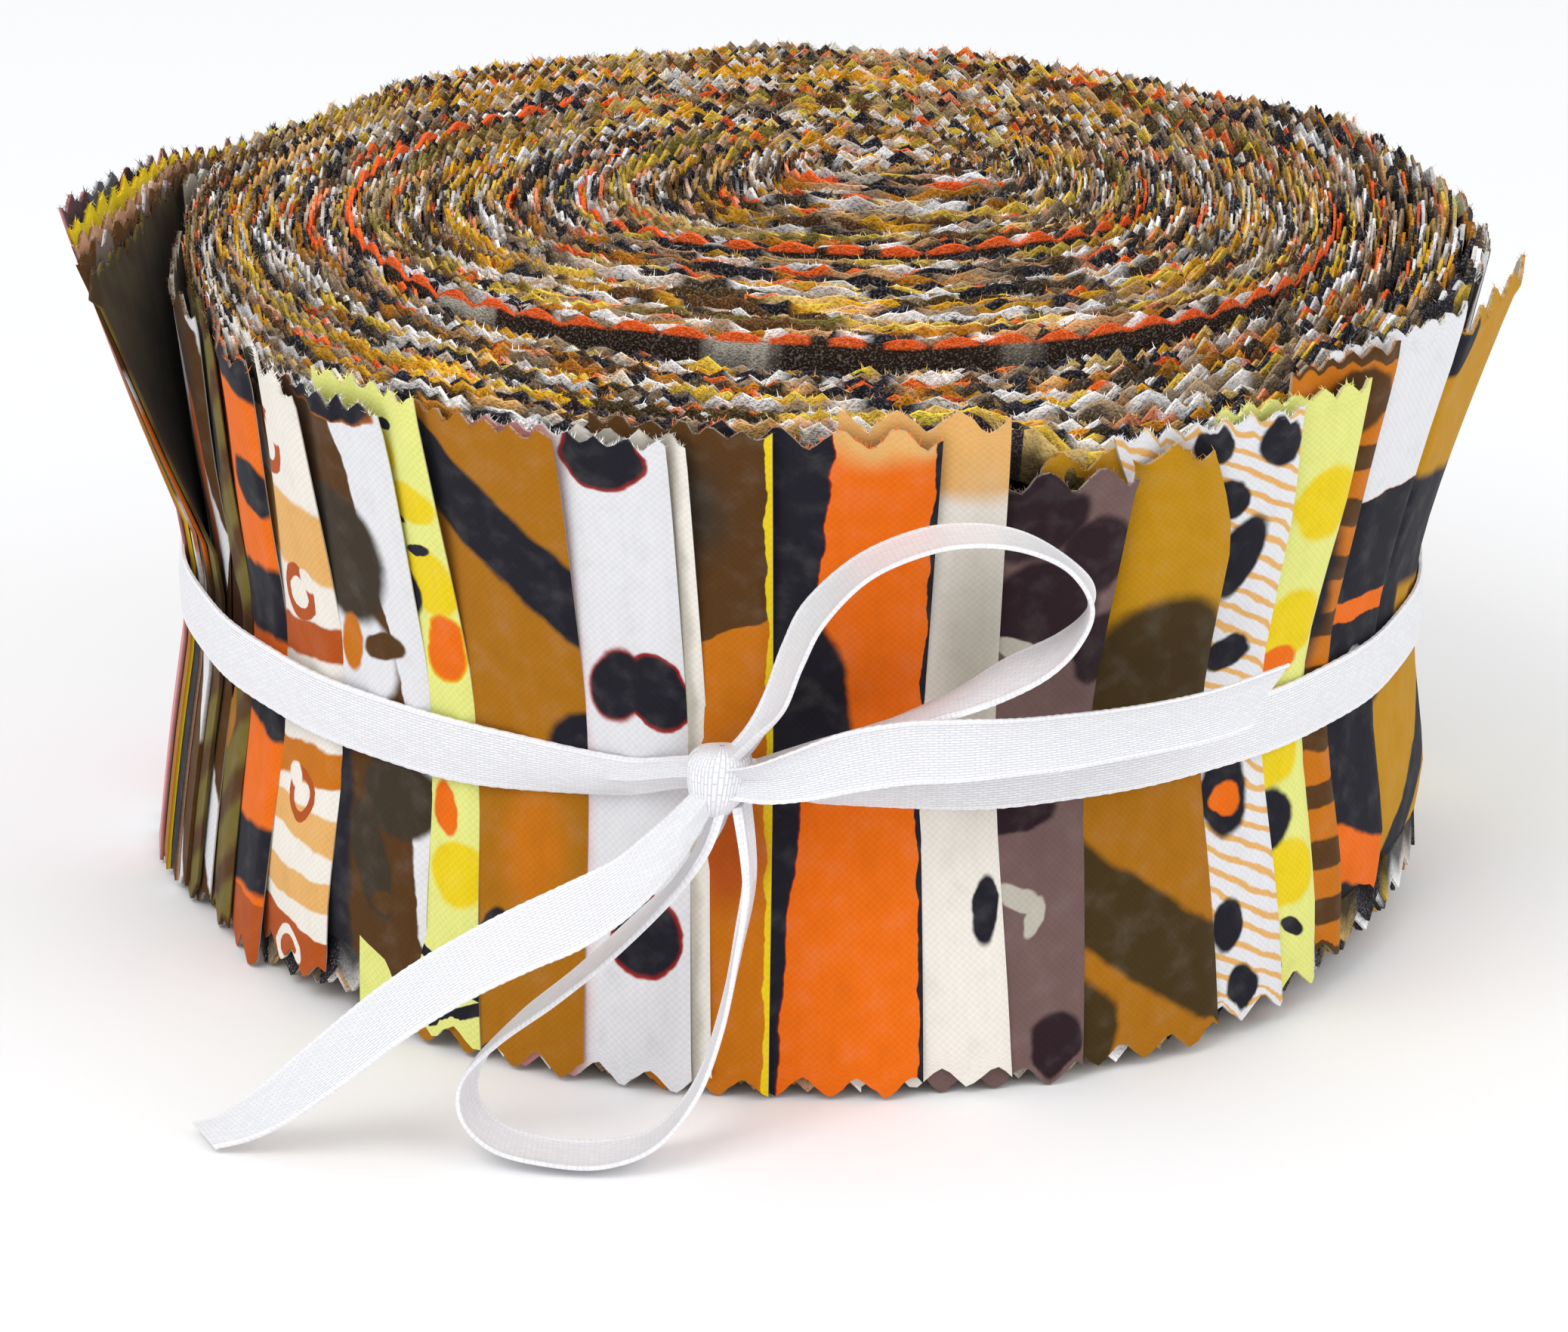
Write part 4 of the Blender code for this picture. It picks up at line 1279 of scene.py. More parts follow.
@dataclass
class WoundLayers:
    """The roll's two ends: the pinked edges of the folded strips, wound inwards from their free ends."""

    outer_radius: float = 58.9
    inner_radius: float = 1.2
    depth: float = 5.0
    thickness: float = 0.24
    least_gap: float = 0.55
    ragged: float = 0.13
    painted_light_in_front: float = 0.45
    painted_light_behind: float = 0.3
    ring_lift: float = 0.25
    ring_out: float = 0.1
    dyed_depth: float = 0.7
    tooth_steps: int = 4
    ring_steps: int = 8
    under_steps: int = 2
    scallop: float = 1.9
    fibres_per_mm: float = 1.2
    rim_fibres_per_mm: float = 6.0
    hump: float = 1.7
    hump_angle: float = 24.0
    hump_half: float = 22.0
    inner_ends: tuple[float, ...] = (-1240.0, -690.0, -800.0, -690.0)
    centre_radii: tuple[float, ...] = (0.0, 8.0, 25.0, 42.0, 58.9)
    centre_x: tuple[float, ...] = (9.0, 8.4, 3.6, 2.3, 0.0)
    centre_y: tuple[float, ...] = (12.0, 11.0, 3.2, -3.0, 0.0)
    ring_window: tuple[float, float] = (-640.0, 80.0)
    patches: tuple[Patch, ...] = (
        Patch(angle=-139.0, half=4.4, strength=1.0),
        Patch(angle=-101.5, half=3.6, strength=0.9),
        Patch(angle=-67.0, half=2.2, strength=0.4),
    )
    ring_angles: tuple[float, ...] = (-540.0, -500.0, -400.0, -375.0, -255.0, -230.0, -165.0, -145.0)
    ring_rises: tuple[float, ...] = (0.0, 0.6, 0.6, 0.0, 0.0, 0.8, 0.8, 0.0)
    total: int = 0
    knots: np.ndarray = field(default_factory=lambda: np.zeros(1))
    counts: np.ndarray = field(default_factory=lambda: np.zeros(1))

    def plies(self, strips: list[Strip]) -> list[Ply]:
        """Every strip's two layers in the roll, from the outermost inwards, each a little different.

        Args:
            strips: The strips on the roll's side, whose order the layers follow.

        Returns:
            The layers.
        """
        draw = np.random.default_rng(SEED + 2)
        ends = [*zip(LOOSE_EDGES, LOOSE_PRINTS), *((strip.high + 360.0, strip.design) for strip in strips)]
        self.total = len(ends)
        angles = np.array([end for end, _ in ends])
        turns = range(-5, 1)
        numbers = np.arange(self.total)
        self.knots = np.concatenate([*(angles + 360.0 * turn for turn in turns), [angles[0] + 360.0]])
        self.counts = np.concatenate([*(numbers + self.total * turn for turn in turns), [self.total]])
        made = []
        phase = 0.0
        for order, (end, design) in enumerate(ends):
            height = draw.normal(0.0, 0.44)
            for layer in range(2):
                if draw.uniform() < 0.3:
                    phase = draw.uniform()
                phase += draw.normal(0.0, 0.06) + 0.5 * (draw.uniform() < 0.45)
                inner_end = self.inner_ends[order % 4] + draw.uniform(-50.0, 0.0)
                own = float(np.clip(height + draw.normal(0.0, 0.3), -1.0, 0.85))
                seed = SEED * 1000 + 2 * order + layer
                fine = float(order % 3 == 1)
                made.append(Ply(end, design, order + 0.5 * layer, inner_end, own, phase % 1.0, seed, fine))
        return made

    @staticmethod
    def of_turns(angle: np.ndarray, name: str) -> np.ndarray:
        """The outermost strip's radius or gap at these unwrapped angles, rounded off between the points."""
        return eased(angle, [turn.angle for turn in TURNS], [getattr(turn, name) for turn in TURNS], 14.0)

    def course(self, ply: Ply, steps: float) -> tuple[np.ndarray, np.ndarray, np.ndarray]:
        """A ply's way through the winding, once it is under its neighbour.

        Args:
            ply: The ply.
            steps: How many points a tooth has.

        Returns:
            The points' unwrapped angles, radii and lengths along the ply.
        """
        angle = np.arange(ply.end, ply.inner_end, -0.75)
        passed = np.interp(angle, self.knots, self.counts)
        following = self.of_turns(angle - 360.0, "radius") + self.of_turns(angle - 360.0, "gap")
        share = (ply.order - passed) / (self.total - passed)
        outer = self.outer_radius - (self.outer_radius - following) * share
        share = ply.order / self.total
        inner = self.of_turns(angle, "radius") * (1.0 - share) + following * share
        radius = np.where(angle > LOOSE_EDGES[0], outer, inner)
        kept = (self.outer_radius - radius > self.least_gap) & (radius > self.inner_radius)
        angle, radius = angle[kept], radius[kept]
        length = np.concatenate([[0.0], np.cumsum(np.radians(-np.diff(angle)) * radius[:-1])])
        marks = np.arange(TOOTH_PITCH * (1.0 - ply.phase), length[-1], TOOTH_PITCH / steps)
        return np.interp(marks, length, angle), np.interp(marks, length, radius), marks

    def top_height(self, angle: np.ndarray) -> np.ndarray:
        """The winding's height along its way inwards, by unwrapped angle."""
        return np.interp(angle, list(CREST_HEIGHTS), list(CREST_HEIGHTS.values()))

    def raised(self, degrees: np.ndarray, radius: np.ndarray) -> np.ndarray:
        """How much higher the outer layers stand at the right behind."""
        turned = np.mod(degrees - self.hump_angle + 180.0, 360.0) - 180.0
        return self.hump * np.exp(-((turned / self.hump_half) ** 2)) * smooth(radius, 46.0, 57.0)

    def notches(self, marks: np.ndarray, steps: int, degrees: np.ndarray, fine: np.ndarray) -> np.ndarray:
        """How deep each point of a pinked edge lies below its tips, which are soft, and flatter in front.

        Args:
            marks: The points' lengths along the edge.
            steps: How many points a full tooth has.
            degrees: Their unwrapped angles.
            fine: The share of teeth of half the pitch there.

        Returns:
            The depths in mm.
        """
        turned = np.pi * np.arange(len(marks)) / steps
        full = 1.0 - np.abs(np.cos(turned)) ** 1.6
        half = 0.62 * (1.0 - np.abs(np.cos(2.0 * turned)) ** 1.6)
        shape = full * (1.0 - fine) + half * fine
        inner = np.minimum(0.72 + 0.46 * np.sin(np.radians(degrees)), 0.95)
        outer = 0.55 + 0.4 * smooth(degrees, 285.0, 315.0)
        share = smooth(degrees, 170.0, 250.0)
        return self.scallop * (inner * (1.0 - share) + outer * share) * shape

    @staticmethod
    def wander(length: np.ndarray, draw: np.random.Generator, size: float) -> np.ndarray:
        """A slow uneven drift along a strip."""
        bounds = ((9.0, 17.0), (24.0, 43.0))
        waves = [(draw.uniform(*bound), draw.uniform(0.0, 6.28)) for bound in bounds]
        return size * sum(np.sin(length * 2.0 * np.pi / wave + phase) for wave, phase in waves)

    def place(self, degrees: np.ndarray, radius: np.ndarray, height: np.ndarray) -> np.ndarray:
        """Points in the winding: oval in the middle, and following the flared side further out.

        Args:
            degrees: The points' angles.
            radius: Their radii in a round winding.
            height: Their heights.

        Returns:
            The points in the roll's own place.
        """
        spare = np.clip(1.0 - (self.outer_radius - radius) / 12.0, 0.0, 1.0) ** 3
        surface = FORM.side(degrees, height, 0.3) - 0.8
        radius = radius + (surface - self.outer_radius) * spare
        points = on_circle(degrees, radius, height)
        flat = 1.0 - smooth(radius, 4.0, 13.0)
        points[..., 0] *= 1.0 + 0.4 * flat
        points[..., 1] *= 1.0 - 0.2 * flat
        points[..., 0] += np.interp(radius, self.centre_radii, self.centre_x)
        points[..., 1] += np.interp(radius, self.centre_radii, self.centre_y)
        return points

    def shell(self, degrees: np.ndarray, radii: tuple, heights: tuple, half: Any) -> tuple[np.ndarray, ...]:
        """A layer's two faces.

        Args:
            degrees: The layer's angles.
            radii: Its middle radii, row by row.
            heights: The rows' heights.
            half: Half its thickness.

        Returns:
            The outer and the inner points, by point along the layer and row.
        """
        outer, inner = (
            [self.place(degrees, radius + side, height) for radius, height in zip(radii, heights)]
            for side in (half, -half)
        )
        return np.stack(outer, axis=1), np.stack(inner, axis=1)

    def colours(self, design: Print, count: int, steps: int, draw: np.random.Generator) -> np.ndarray:
        """Colours along a ply in whole teeth, a little uneven from point to point.

        Args:
            design: The ply's print, whose edge colours are drawn.
            count: How many points it has.
            steps: How many points a tooth has.
            draw: Where the colours' order comes from.

        Returns:
            The colours.
        """
        made = np.ones((count, 4))
        start = 0
        pale = 0.5 * np.array(Dye.TAN.linear[:3]) + 0.5 * np.array(Dye.BEIGE.linear[:3])
        low, high = design.runs
        while start < count:
            teeth = draw.uniform(0.35 * low, 0.5 * high) / TOOTH_PITCH
            stop = start + steps // 2 * max(1, round(2.0 * teeth))
            colour = np.array(design.edges[draw.integers(len(design.edges))].linear[:3])
            if draw.uniform() < 0.3:
                colour = 0.55 * colour + 0.38 * pale
            made[start:stop, :3] = colour * draw.uniform(0.7, 1.3)
            start = stop
        # Each point's brightness is scaled at random: partly uneven dye and partly painted shading of the
        # fluffy fibres.
        made[:, :3] *= draw.uniform(0.75, 1.3, count)[:, None]
        return np.clip(made, 0.0, 1.0)

    @staticmethod
    def fine_share(ply: Ply, degrees: np.ndarray, radius: np.ndarray) -> np.ndarray:
        """The share of teeth of half the pitch: all in some plies, and in any at the left."""
        leftward = -np.cos(np.radians(degrees))
        in_front = smooth(radius, 43.0, 48.0) * smooth(leftward, -0.3, 0.05)
        return np.maximum(ply.fine, np.maximum(smooth(leftward, 0.45, 0.85), in_front))

    def painted_light_gain(self, degrees: np.ndarray, radius: np.ndarray) -> np.ndarray:
        """Painted light: how much brighter the edges are made in front, away from the middle, and behind."""
        forward = -np.sin(np.radians(degrees))
        in_front = smooth(forward, 0.6, 0.95) * smooth(radius, 22.0, 44.0)
        return 1.0 + self.painted_light_in_front * in_front + self.painted_light_behind * smooth(-forward, 0.5, 0.9)

    def upper(self, ply: Ply, rims: tuple[np.ndarray, ...]) -> tuple[np.ndarray, ...] | None:
        """A ply's upper edge.

        Args:
            ply: The ply.
            rims: Angles all round, with the side's top heights and foot lifts there.

        Returns:
            What a pile's shell is made of, or nothing for a short ply.
        """
        draw = np.random.default_rng(ply.seed)
        degrees, radius, marks = self.course(ply, self.tooth_steps)
        if len(marks) < 2 * self.tooth_steps:
            return None
        under = self.outer_radius - radius
        rim = np.interp(np.mod(degrees, 360.0), rims[0], rims[1])
        numbers = np.arange(len(marks)) // self.tooth_steps
        tooth = draw.normal(0.0, self.ragged, numbers[-1] + 1)[numbers]
        lean = draw.normal(0.0, 0.12, numbers[-1] + 1)[numbers] + self.wander(marks, draw, 0.1)
        nominal = self.top_height(degrees)
        near_rim = np.exp(-(under - self.least_gap) / 2.5)
        nominal = nominal + (rim - nominal) * near_rim + self.raised(degrees, radius)
        uneven = np.clip(ply.height + self.wander(marks, draw, 0.24), -1.1, 0.8)
        uneven = uneven * (1.0 - np.exp(-under / 1.6))
        ragged = draw.normal(0.0, self.ragged, len(marks))
        fine = self.fine_share(ply, degrees, radius)
        crest = nominal + uneven + tooth + ragged - self.notches(marks, self.tooth_steps, degrees, fine)
        lean = lean + draw.normal(0.0, 0.05, len(marks))
        if ply.order < 1.0:
            lean = np.minimum(lean, 0.0) - 0.25
        root = nominal - self.depth
        outer, inner = self.shell(degrees, (radius, radius + lean), (root, crest), 0.5 * self.thickness)
        below = np.stack([crest - root, np.zeros(len(marks))], axis=1)
        dyes = self.colours(ply.design, len(marks), self.tooth_steps, draw)
        # Painted light: the edges' colours are brightened in front and behind.
        dyes[:, :3] = np.minimum(dyes[:, :3] * self.painted_light_gain(degrees, radius)[:, None], 0.9)
        face = np.repeat(dyes[:, None, :], 2, axis=1)
        return outer, inner, on_cloth(marks[:, None], below), face, face

    def ring(self, ply: Ply) -> tuple[np.ndarray, ...]:
        """The outermost ply of the whole bundle, whose orange edge and dark face show as a ring on top.

        Args:
            ply: The ply.

        Returns:
            What a pile's shell is made of.
        """
        draw = np.random.default_rng(ply.seed)
        degrees, radius, marks = self.course(ply, self.ring_steps)
        kept = (degrees > self.ring_window[0]) & (degrees < self.ring_window[1])
        degrees, radius, marks = degrees[kept], radius[kept], marks[kept]
        rise = np.interp(degrees, self.ring_angles, self.ring_rises)
        nominal = self.top_height(degrees) + self.ring_lift + rise + self.wander(marks, draw, 0.1)
        sideways = np.abs(np.cos(np.radians(degrees)))
        shape = 1.0 - np.abs(np.cos(np.pi * np.arange(len(marks)) / self.ring_steps)) ** 1.6
        notch = self.scallop * (0.22 + 0.45 * sideways) * shape + draw.normal(0.0, 0.04, len(marks))
        crest = nominal - notch
        dyed = np.minimum(nominal - self.dyed_depth, crest - 0.1)
        half = 0.5 * self.thickness * (1.0 + 0.6 * rise)
        heights = (nominal - self.depth, dyed - 0.25, dyed, crest)
        outer, inner = self.shell(degrees, 4 * (radius + self.ring_out,), heights, half)
        jagged = degrees + draw.normal(0.0, 0.35, len(marks))
        spreads = (0.25, 1.0, 1.1, 1.1)
        shares = [sum(patch.share(jagged, spread) for patch in self.patches) for spread in spreads]
        white = np.stack(shares, axis=1)
        dark, pale = np.array(Dye.UMBER.linear), np.array(Dye.BEIGE.linear)
        face = dark + (pale - dark) * white[:, :, None]
        tips = shape < 0.72 + 0.5 * sideways
        face[:, 2:, :] = np.where(tips[:, None, None], Dye.EMBER.linear, face[:, 2:, :])
        below = np.stack([crest - height for height in heights], axis=1) * 0.25
        return outer, inner, on_cloth(marks[:, None], below), face, face

    def lower(self, ply: Ply, rims: tuple[np.ndarray, ...]) -> tuple[np.ndarray, ...] | None:
        """A ply's lower edge, from the same parts as the upper one.

        Args:
            ply: The ply.
            rims: Angles all round, with the side's top heights and foot lifts there.

        Returns:
            What a pile's shell is made of, or nothing for a short ply.
        """
        draw = np.random.default_rng(ply.seed + 70)
        degrees, radius, marks = self.course(ply, self.under_steps)
        if len(marks) < 2 * self.under_steps:
            return None
        near_rim = np.exp(-(self.outer_radius - radius) / 3.0)
        lift = np.interp(np.mod(degrees, 360.0), rims[0], rims[2]) * near_rim
        notch = TOOTH_DEPTH * np.mod(np.arange(len(marks)), 2)
        crest = lift + 0.15 + abs(ply.height) * 0.6 + notch + np.abs(draw.normal(0.0, 0.12, len(marks)))
        top = lift + self.depth
        outer, inner = self.shell(degrees, (radius, radius), (crest, top), self.thickness)
        below = np.stack([np.zeros(len(marks)), top - crest], axis=1)
        face = np.repeat(self.colours(ply.design, len(marks), self.under_steps, draw)[:, None, :], 2, axis=1)
        return outer, inner, on_cloth(marks[:, None], below), face, face

    @staticmethod
    def fray(
        pile: Pile, edge: np.ndarray, colours: np.ndarray, density: float, draw: np.random.Generator
    ) -> None:
        """Adds the short loose fibres of one pinked edge.

        Args:
            pile: What gathers the fibres.
            edge: The edge's points.
            colours: Its colours, point by point.
            density: How many fibres there are on a millimetre.
            draw: Where the fibres' differences come from.
        """
        count = int(lengths_along(edge)[-1] * density)
        where = draw.uniform(0.0, len(edge) - 1.001, count)
        index = where.astype(int)
        share = (where - index)[:, None]
        base = edge[index] * (1.0 - share) + edge[index + 1] * share
        upward = (0.0, 0.0, 0.55)
        tilt = unit(draw.normal(0.0, 1.0, (count, 3)) * (0.75, 0.75, 0.35) + upward)
        tilt[:, 2] = np.abs(tilt[:, 2])
        reach = draw.uniform(0.3, 0.85, count)[:, None]
        dyes = np.clip(colours[index] * draw.uniform(0.8, 1.5, count)[:, None] + 0.015, 0.0, 1.0)
        dyes[:, 3] = 1.0
        pile.add_fibres(base - (0.0, 0.0, 0.06), base + tilt * reach, dyes)

    def build(self, strips: list[Strip], tops: list[tuple[np.ndarray, Dye]]) -> list[bpy.types.Object]:
        """Makes the upper and lower ends of the winding.

        Args:
            strips: The strips on the roll's side, whose order the layers follow.
            tops: The upper edges of the strips on the side, with their colours, which are frayed too.

        Returns:
            The new pieces.
        """
        by_angle = sorted(((strip.high - 3.0) % 360.0, FORM.top + strip.rise, strip.foot) for strip in strips)
        first, last = by_angle[0], by_angle[-1]
        looped = [(last[0] - 360.0, *last[1:]), *by_angle, (first[0] + 360.0, *first[1:])]
        rims = tuple(np.array(column) for column in zip(*looped))
        names = ("upper_outer", "upper_inner", "lower", "fray_outer", "fray_inner")
        piles = {name: Pile() for name in names}
        draw = np.random.default_rng(SEED + 5)
        for ply in self.plies(strips):
            layer = "inner" if ply.order % 1.0 else "outer"
            for shell in (self.upper(ply, rims), self.ring(ply) if ply.order == 0.0 else None):
                if shell:
                    piles[f"upper_{layer}"].add_shell(*shell)
                    edge = 0.5 * (shell[0][:, -1] + shell[1][:, -1])
                    self.fray(piles[f"fray_{layer}"], edge, shell[3][:, -1], self.fibres_per_mm, draw)
            if layer == "outer":
                lower = self.lower(ply, rims)
                if lower:
                    piles["lower"].add_shell(*lower)
        for edge, dye in tops:
            colours = np.tile(dye.linear, (len(edge), 1))
            self.fray(piles["fray_outer"], edge, colours, self.rim_fibres_per_mm, draw)
        material = YarnFinish().material()
        return [pile.make(f"wound_layers_{name}", material) for name, pile in piles.items()]


@dataclass(frozen=True)
class LooseSheet:
    """One of the strips that have sprung away at the left: its print, edges and place in the fan."""

    design: Print
    start: float
    edge: float
    order: int
    rise: float = 0.0

    @property
    def length(self) -> float:
        """How long it is in mm, from its start behind the roll to its free edge."""
        return (self.edge - self.start) * MM_PER_DEGREE


@dataclass
class LooseEnd:
    """The last strips of the winding, which lie on the roll behind and fan away from it at the left."""

    thickness: float = 0.36
    spacing: float = 0.42
    spread: float = 0.1
    lifted: float = 1.7
    sunk: float = 1.6
    inset: float = 1.6
    rows: int = 13
    foot: float = 0.3
    waist_top: float = FORM.ribbon_height + 4.6
    fine_teeth: float = 0.62
    tops: list[tuple[np.ndarray, Dye]] = field(default_factory=list)
    sheets: tuple[LooseSheet, ...] = (
        LooseSheet(LOOSE_PRINTS[4], start=146.5, edge=199.0, order=0, rise=-0.6),
        LooseSheet(LOOSE_PRINTS[3], start=147.0, edge=196.4, order=1, rise=-0.3),
        LooseSheet(LOOSE_PRINTS[2], start=147.0, edge=193.4, order=2, rise=-0.3),
        LooseSheet(LOOSE_PRINTS[1], start=147.5, edge=190.4, order=3),
        LooseSheet(LOOSE_PRINTS[0], start=148.0, edge=187.4, order=4, rise=0.2),
    )
    from_edge: tuple[float, ...] = (0.0, 3.0, 6.0, 9.5, 13.5, 20.0, 32.0, 55.0)
    sprung_reach: tuple[float, ...] = (7.8, 6.2, 4.4, 2.7, 1.3, 0.6, 0.2, -0.6)

    def radius(self, loose: LooseSheet, u: np.ndarray, v: np.ndarray, above: np.ndarray) -> np.ndarray:
        """How far out a sprung strip's points lie, most at its free edge and above the ribbon.

        Args:
            loose: The strip.
            u: How far the points are from its free edge.
            v: Their heights.
            above: Those heights as shares of the way from the ribbon to the top.

        Returns:
            The points' radii.
        """
        degrees = loose.edge - u / MM_PER_DEGREE
        on_roll = FORM.by_height(FORM.radii, v) + 0.5 * FORM.step(v) - FORM.back_loss(degrees, v) - self.inset
        fanned = loose.order * (self.spacing + self.spread * above**1.5)
        sprung = np.interp(u / MM_PER_DEGREE, self.from_edge, self.sprung_reach) * (1.0 - 0.05 * loose.order)
        wave = 0.25 * smooth(v, 36.0, 58.0) * np.sin(u / 7.0 + 1.7 * loose.order)
        return on_roll + fanned + sprung * above + wave

    def sheet(self, loose: LooseSheet, draw: np.random.Generator) -> tuple[np.ndarray, ...]:
        """One sprung strip's points.

        Args:
            loose: The strip.
            draw: Where the small irregularities come from.

        Returns:
            The outer points, the inner points and their places on the cloth, by row and column.
        """
        top = FORM.top + loose.rise
        v = (self.foot + (top - self.foot) * strip_rows(self.rows))[:, None]
        columns = int(loose.length / POINT_STEP) + 1
        u = np.arange(columns)[None, :] * POINT_STEP
        degrees = loose.edge - u / MM_PER_DEGREE
        begin = draw.uniform(0.0, 4.0)
        pinked = pinked_share(top - v)
        notch = TOOTH_DEPTH * tooth_notch(u, begin)
        upper_notch = self.fine_teeth * TOOTH_DEPTH * tooth_notch(u, begin, FINE_PITCH)
        ragged = draw.normal(0.0, 0.26, columns)[None, :]
        above = np.maximum(v - self.waist_top, 0.0) / (FORM.top - self.waist_top)
        lifted = self.lifted * (0.25 * loose.order) ** 0.7 * smooth(degrees, 156.0, 180.0)
        sunk = self.sunk * (1.0 - smooth(degrees, 152.0, 172.0))
        height = v + (ragged - upper_notch) * pinked + notch * pinked_share(v) + (lifted - sunk) * above
        height = np.maximum(height, TABLE_CLEARANCE)
        radius = self.radius(loose, u, v, above)
        outer = on_circle(degrees, radius, height)
        inner = on_circle(degrees, radius - self.thickness, height)
        return outer, inner, on_cloth(u + 5.0 * loose.order, v)

    def build(self) -> list[bpy.types.Object]:
        """Returns:
            The new pieces, the innermost strip first.
        """
        draw = np.random.default_rng(SEED + 3)
        made = []
        for loose in self.sheets:
            sheet = self.sheet(loose, draw)
            self.tops.append((top_line(sheet), loose.design.back))
            material = CottonFinish(loose.design).material()
            piece = Pile.of_shell(f"loose_strip_{loose.order + 1}", material, sheet)
            length = loose.length * MM
            made.append(piece)
        return made


@dataclass(frozen=True)
class Way:
    """A point on a ribbon's middle line: its place, the way its width runs, and half its width there."""

    place: tuple[float, float, float]
    across: tuple[float, float, float]
    half: float = 2.8


@dataclass(frozen=True)
class Run:
    """One free stretch of the ribbon: its name, its way, and the slants of its cut end."""

    node: str
    ways: tuple[Way, ...]
    far_end: str
    slant: float = 0.0


UPPER_LOOP = Run(
    node="ribbon_loop_upper",
    far_end="object",
    ways=(
        Way((-5.6, -61.0, 31.8), across=(0.2, -1.0, 0.1), half=1.2),
        Way((-3.6, -61.9, 34.6), across=(0.2, -1.0, 0.1), half=1.7),
        Way((-1.8, -62.6, 37.9), across=(0.3, -1.0, 0.0), half=2.5),
        Way((-0.4, -63.4, 42.4), across=(0.3, -1.0, 0.0)),
        Way((1.4, -64.2, 46.5), across=(0.3, -1.0, 0.0)),
        Way((5.2, -64.7, 50.6), across=(0.2, -1.0, 0.0)),
        Way((10.0, -64.9, 53.0), across=(0.2, -1.0, 0.0)),
        Way((14.2, -64.7, 53.6), across=(0.2, -1.0, 0.0)),
        Way((18.2, -64.1, 52.9), across=(0.2, -1.0, 0.0)),
        Way((21.6, -63.2, 50.9), across=(0.2, -1.0, 0.0)),
        Way((23.9, -62.3, 47.8), across=(0.0, -1.0, -0.1)),
        Way((23.3, -62.0, 44.9), across=(-0.2, -1.0, -0.3)),
        Way((20.9, -61.8, 42.4), across=(-0.2, -1.0, -0.4)),
        Way((17.0, -61.6, 40.2), across=(-0.1, -1.0, -0.4), half=2.7),
        Way((12.5, -61.2, 37.7), across=(0.0, -1.0, -0.1), half=2.3),
        Way((6.5, -60.6, 35.0), across=(0.0, -1.0, 0.1), half=1.9),
        Way((1.5, -60.5, 33.2), across=(0.0, -1.0, 0.2), half=1.6),
        Way((-3.2, -60.6, 31.4), across=(0.0, -1.0, 0.2), half=1.3),
    ),
)
RIGHT_TAIL = Run(
    node="ribbon_tail_right",
    far_end="bare",
    slant=-4.6,
    ways=(
        Way((-5.6, -62.0, 30.6), across=(0.2, 0.0, -1.0), half=1.3),
        Way((-2.9, -63.7, 31.3), across=(0.3, 0.0, -1.0), half=1.8),
        Way((0.2, -64.4, 32.3), across=(0.3, 0.0, -1.0), half=2.3),
        Way((4.2, -64.6, 33.6), across=(0.2, 0.0, -1.0), half=2.7),
        Way((9.0, -64.3, 34.4), across=(0.1, 0.0, -1.0)),
        Way((13.4, -63.6, 34.4), across=(0.0, 0.0, -1.0)),
        Way((18.0, -62.2, 34.3), across=(0.0, 0.1, -1.0), half=2.7),
        Way((22.5, -60.4, 34.2), across=(0.1, 0.1, -1.0), half=2.6),
        Way((27.0, -58.2, 34.2), across=(0.1, 0.2, -1.0), half=2.55),
        Way((31.4, -55.6, 34.1), across=(0.1, 0.2, -1.0), half=2.5),
        Way((35.4, -52.8, 34.1), across=(0.1, 0.2, -1.0), half=2.5),
        Way((40.0, -49.3, 34.5), across=(0.1, 0.2, -1.0), half=2.5),
    ),
)
LEFT_TAIL = Run(
    node="ribbon_tail_left",
    far_end="bare",
    slant=1.2,
    ways=(
        Way((-7.4, -61.9, 29.3), across=(0.5, -0.3, -0.8), half=1.2),
        Way((-9.1, -63.7, 27.5), across=(0.5, -0.3, -0.8), half=1.6),
        Way((-11.2, -65.6, 25.6), across=(0.4, -0.4, -0.8), half=2.1),
        Way((-14.4, -68.2, 23.4), across=(0.3, -0.5, -0.8), half=2.5),
        Way((-18.5, -70.3, 21.6), across=(0.3, -0.6, -0.7), half=2.9),
        Way((-22.6, -71.5, 20.0), across=(0.4, -0.6, -0.7)),
        Way((-26.6, -72.2, 18.1), across=(0.4, -0.7, -0.6)),
        Way((-30.4, -72.5, 15.8), across=(0.5, -0.7, -0.5)),
        Way((-33.9, -72.5, 13.2), across=(0.5, -0.7, -0.4)),
        Way((-37.2, -72.2, 10.2), across=(0.6, -0.7, -0.3)),
        Way((-40.4, -71.7, 7.2), across=(0.6, -0.7, -0.2)),
        Way((-43.6, -71.1, 4.3), across=(0.6, -0.7, -0.1)),
        Way((-46.8, -70.4, 2.0), across=(0.6, -0.7, 0.0)),
        Way((-49.6, -69.8, 0.9), across=(0.6, -0.8, 0.0)),
    ),
)
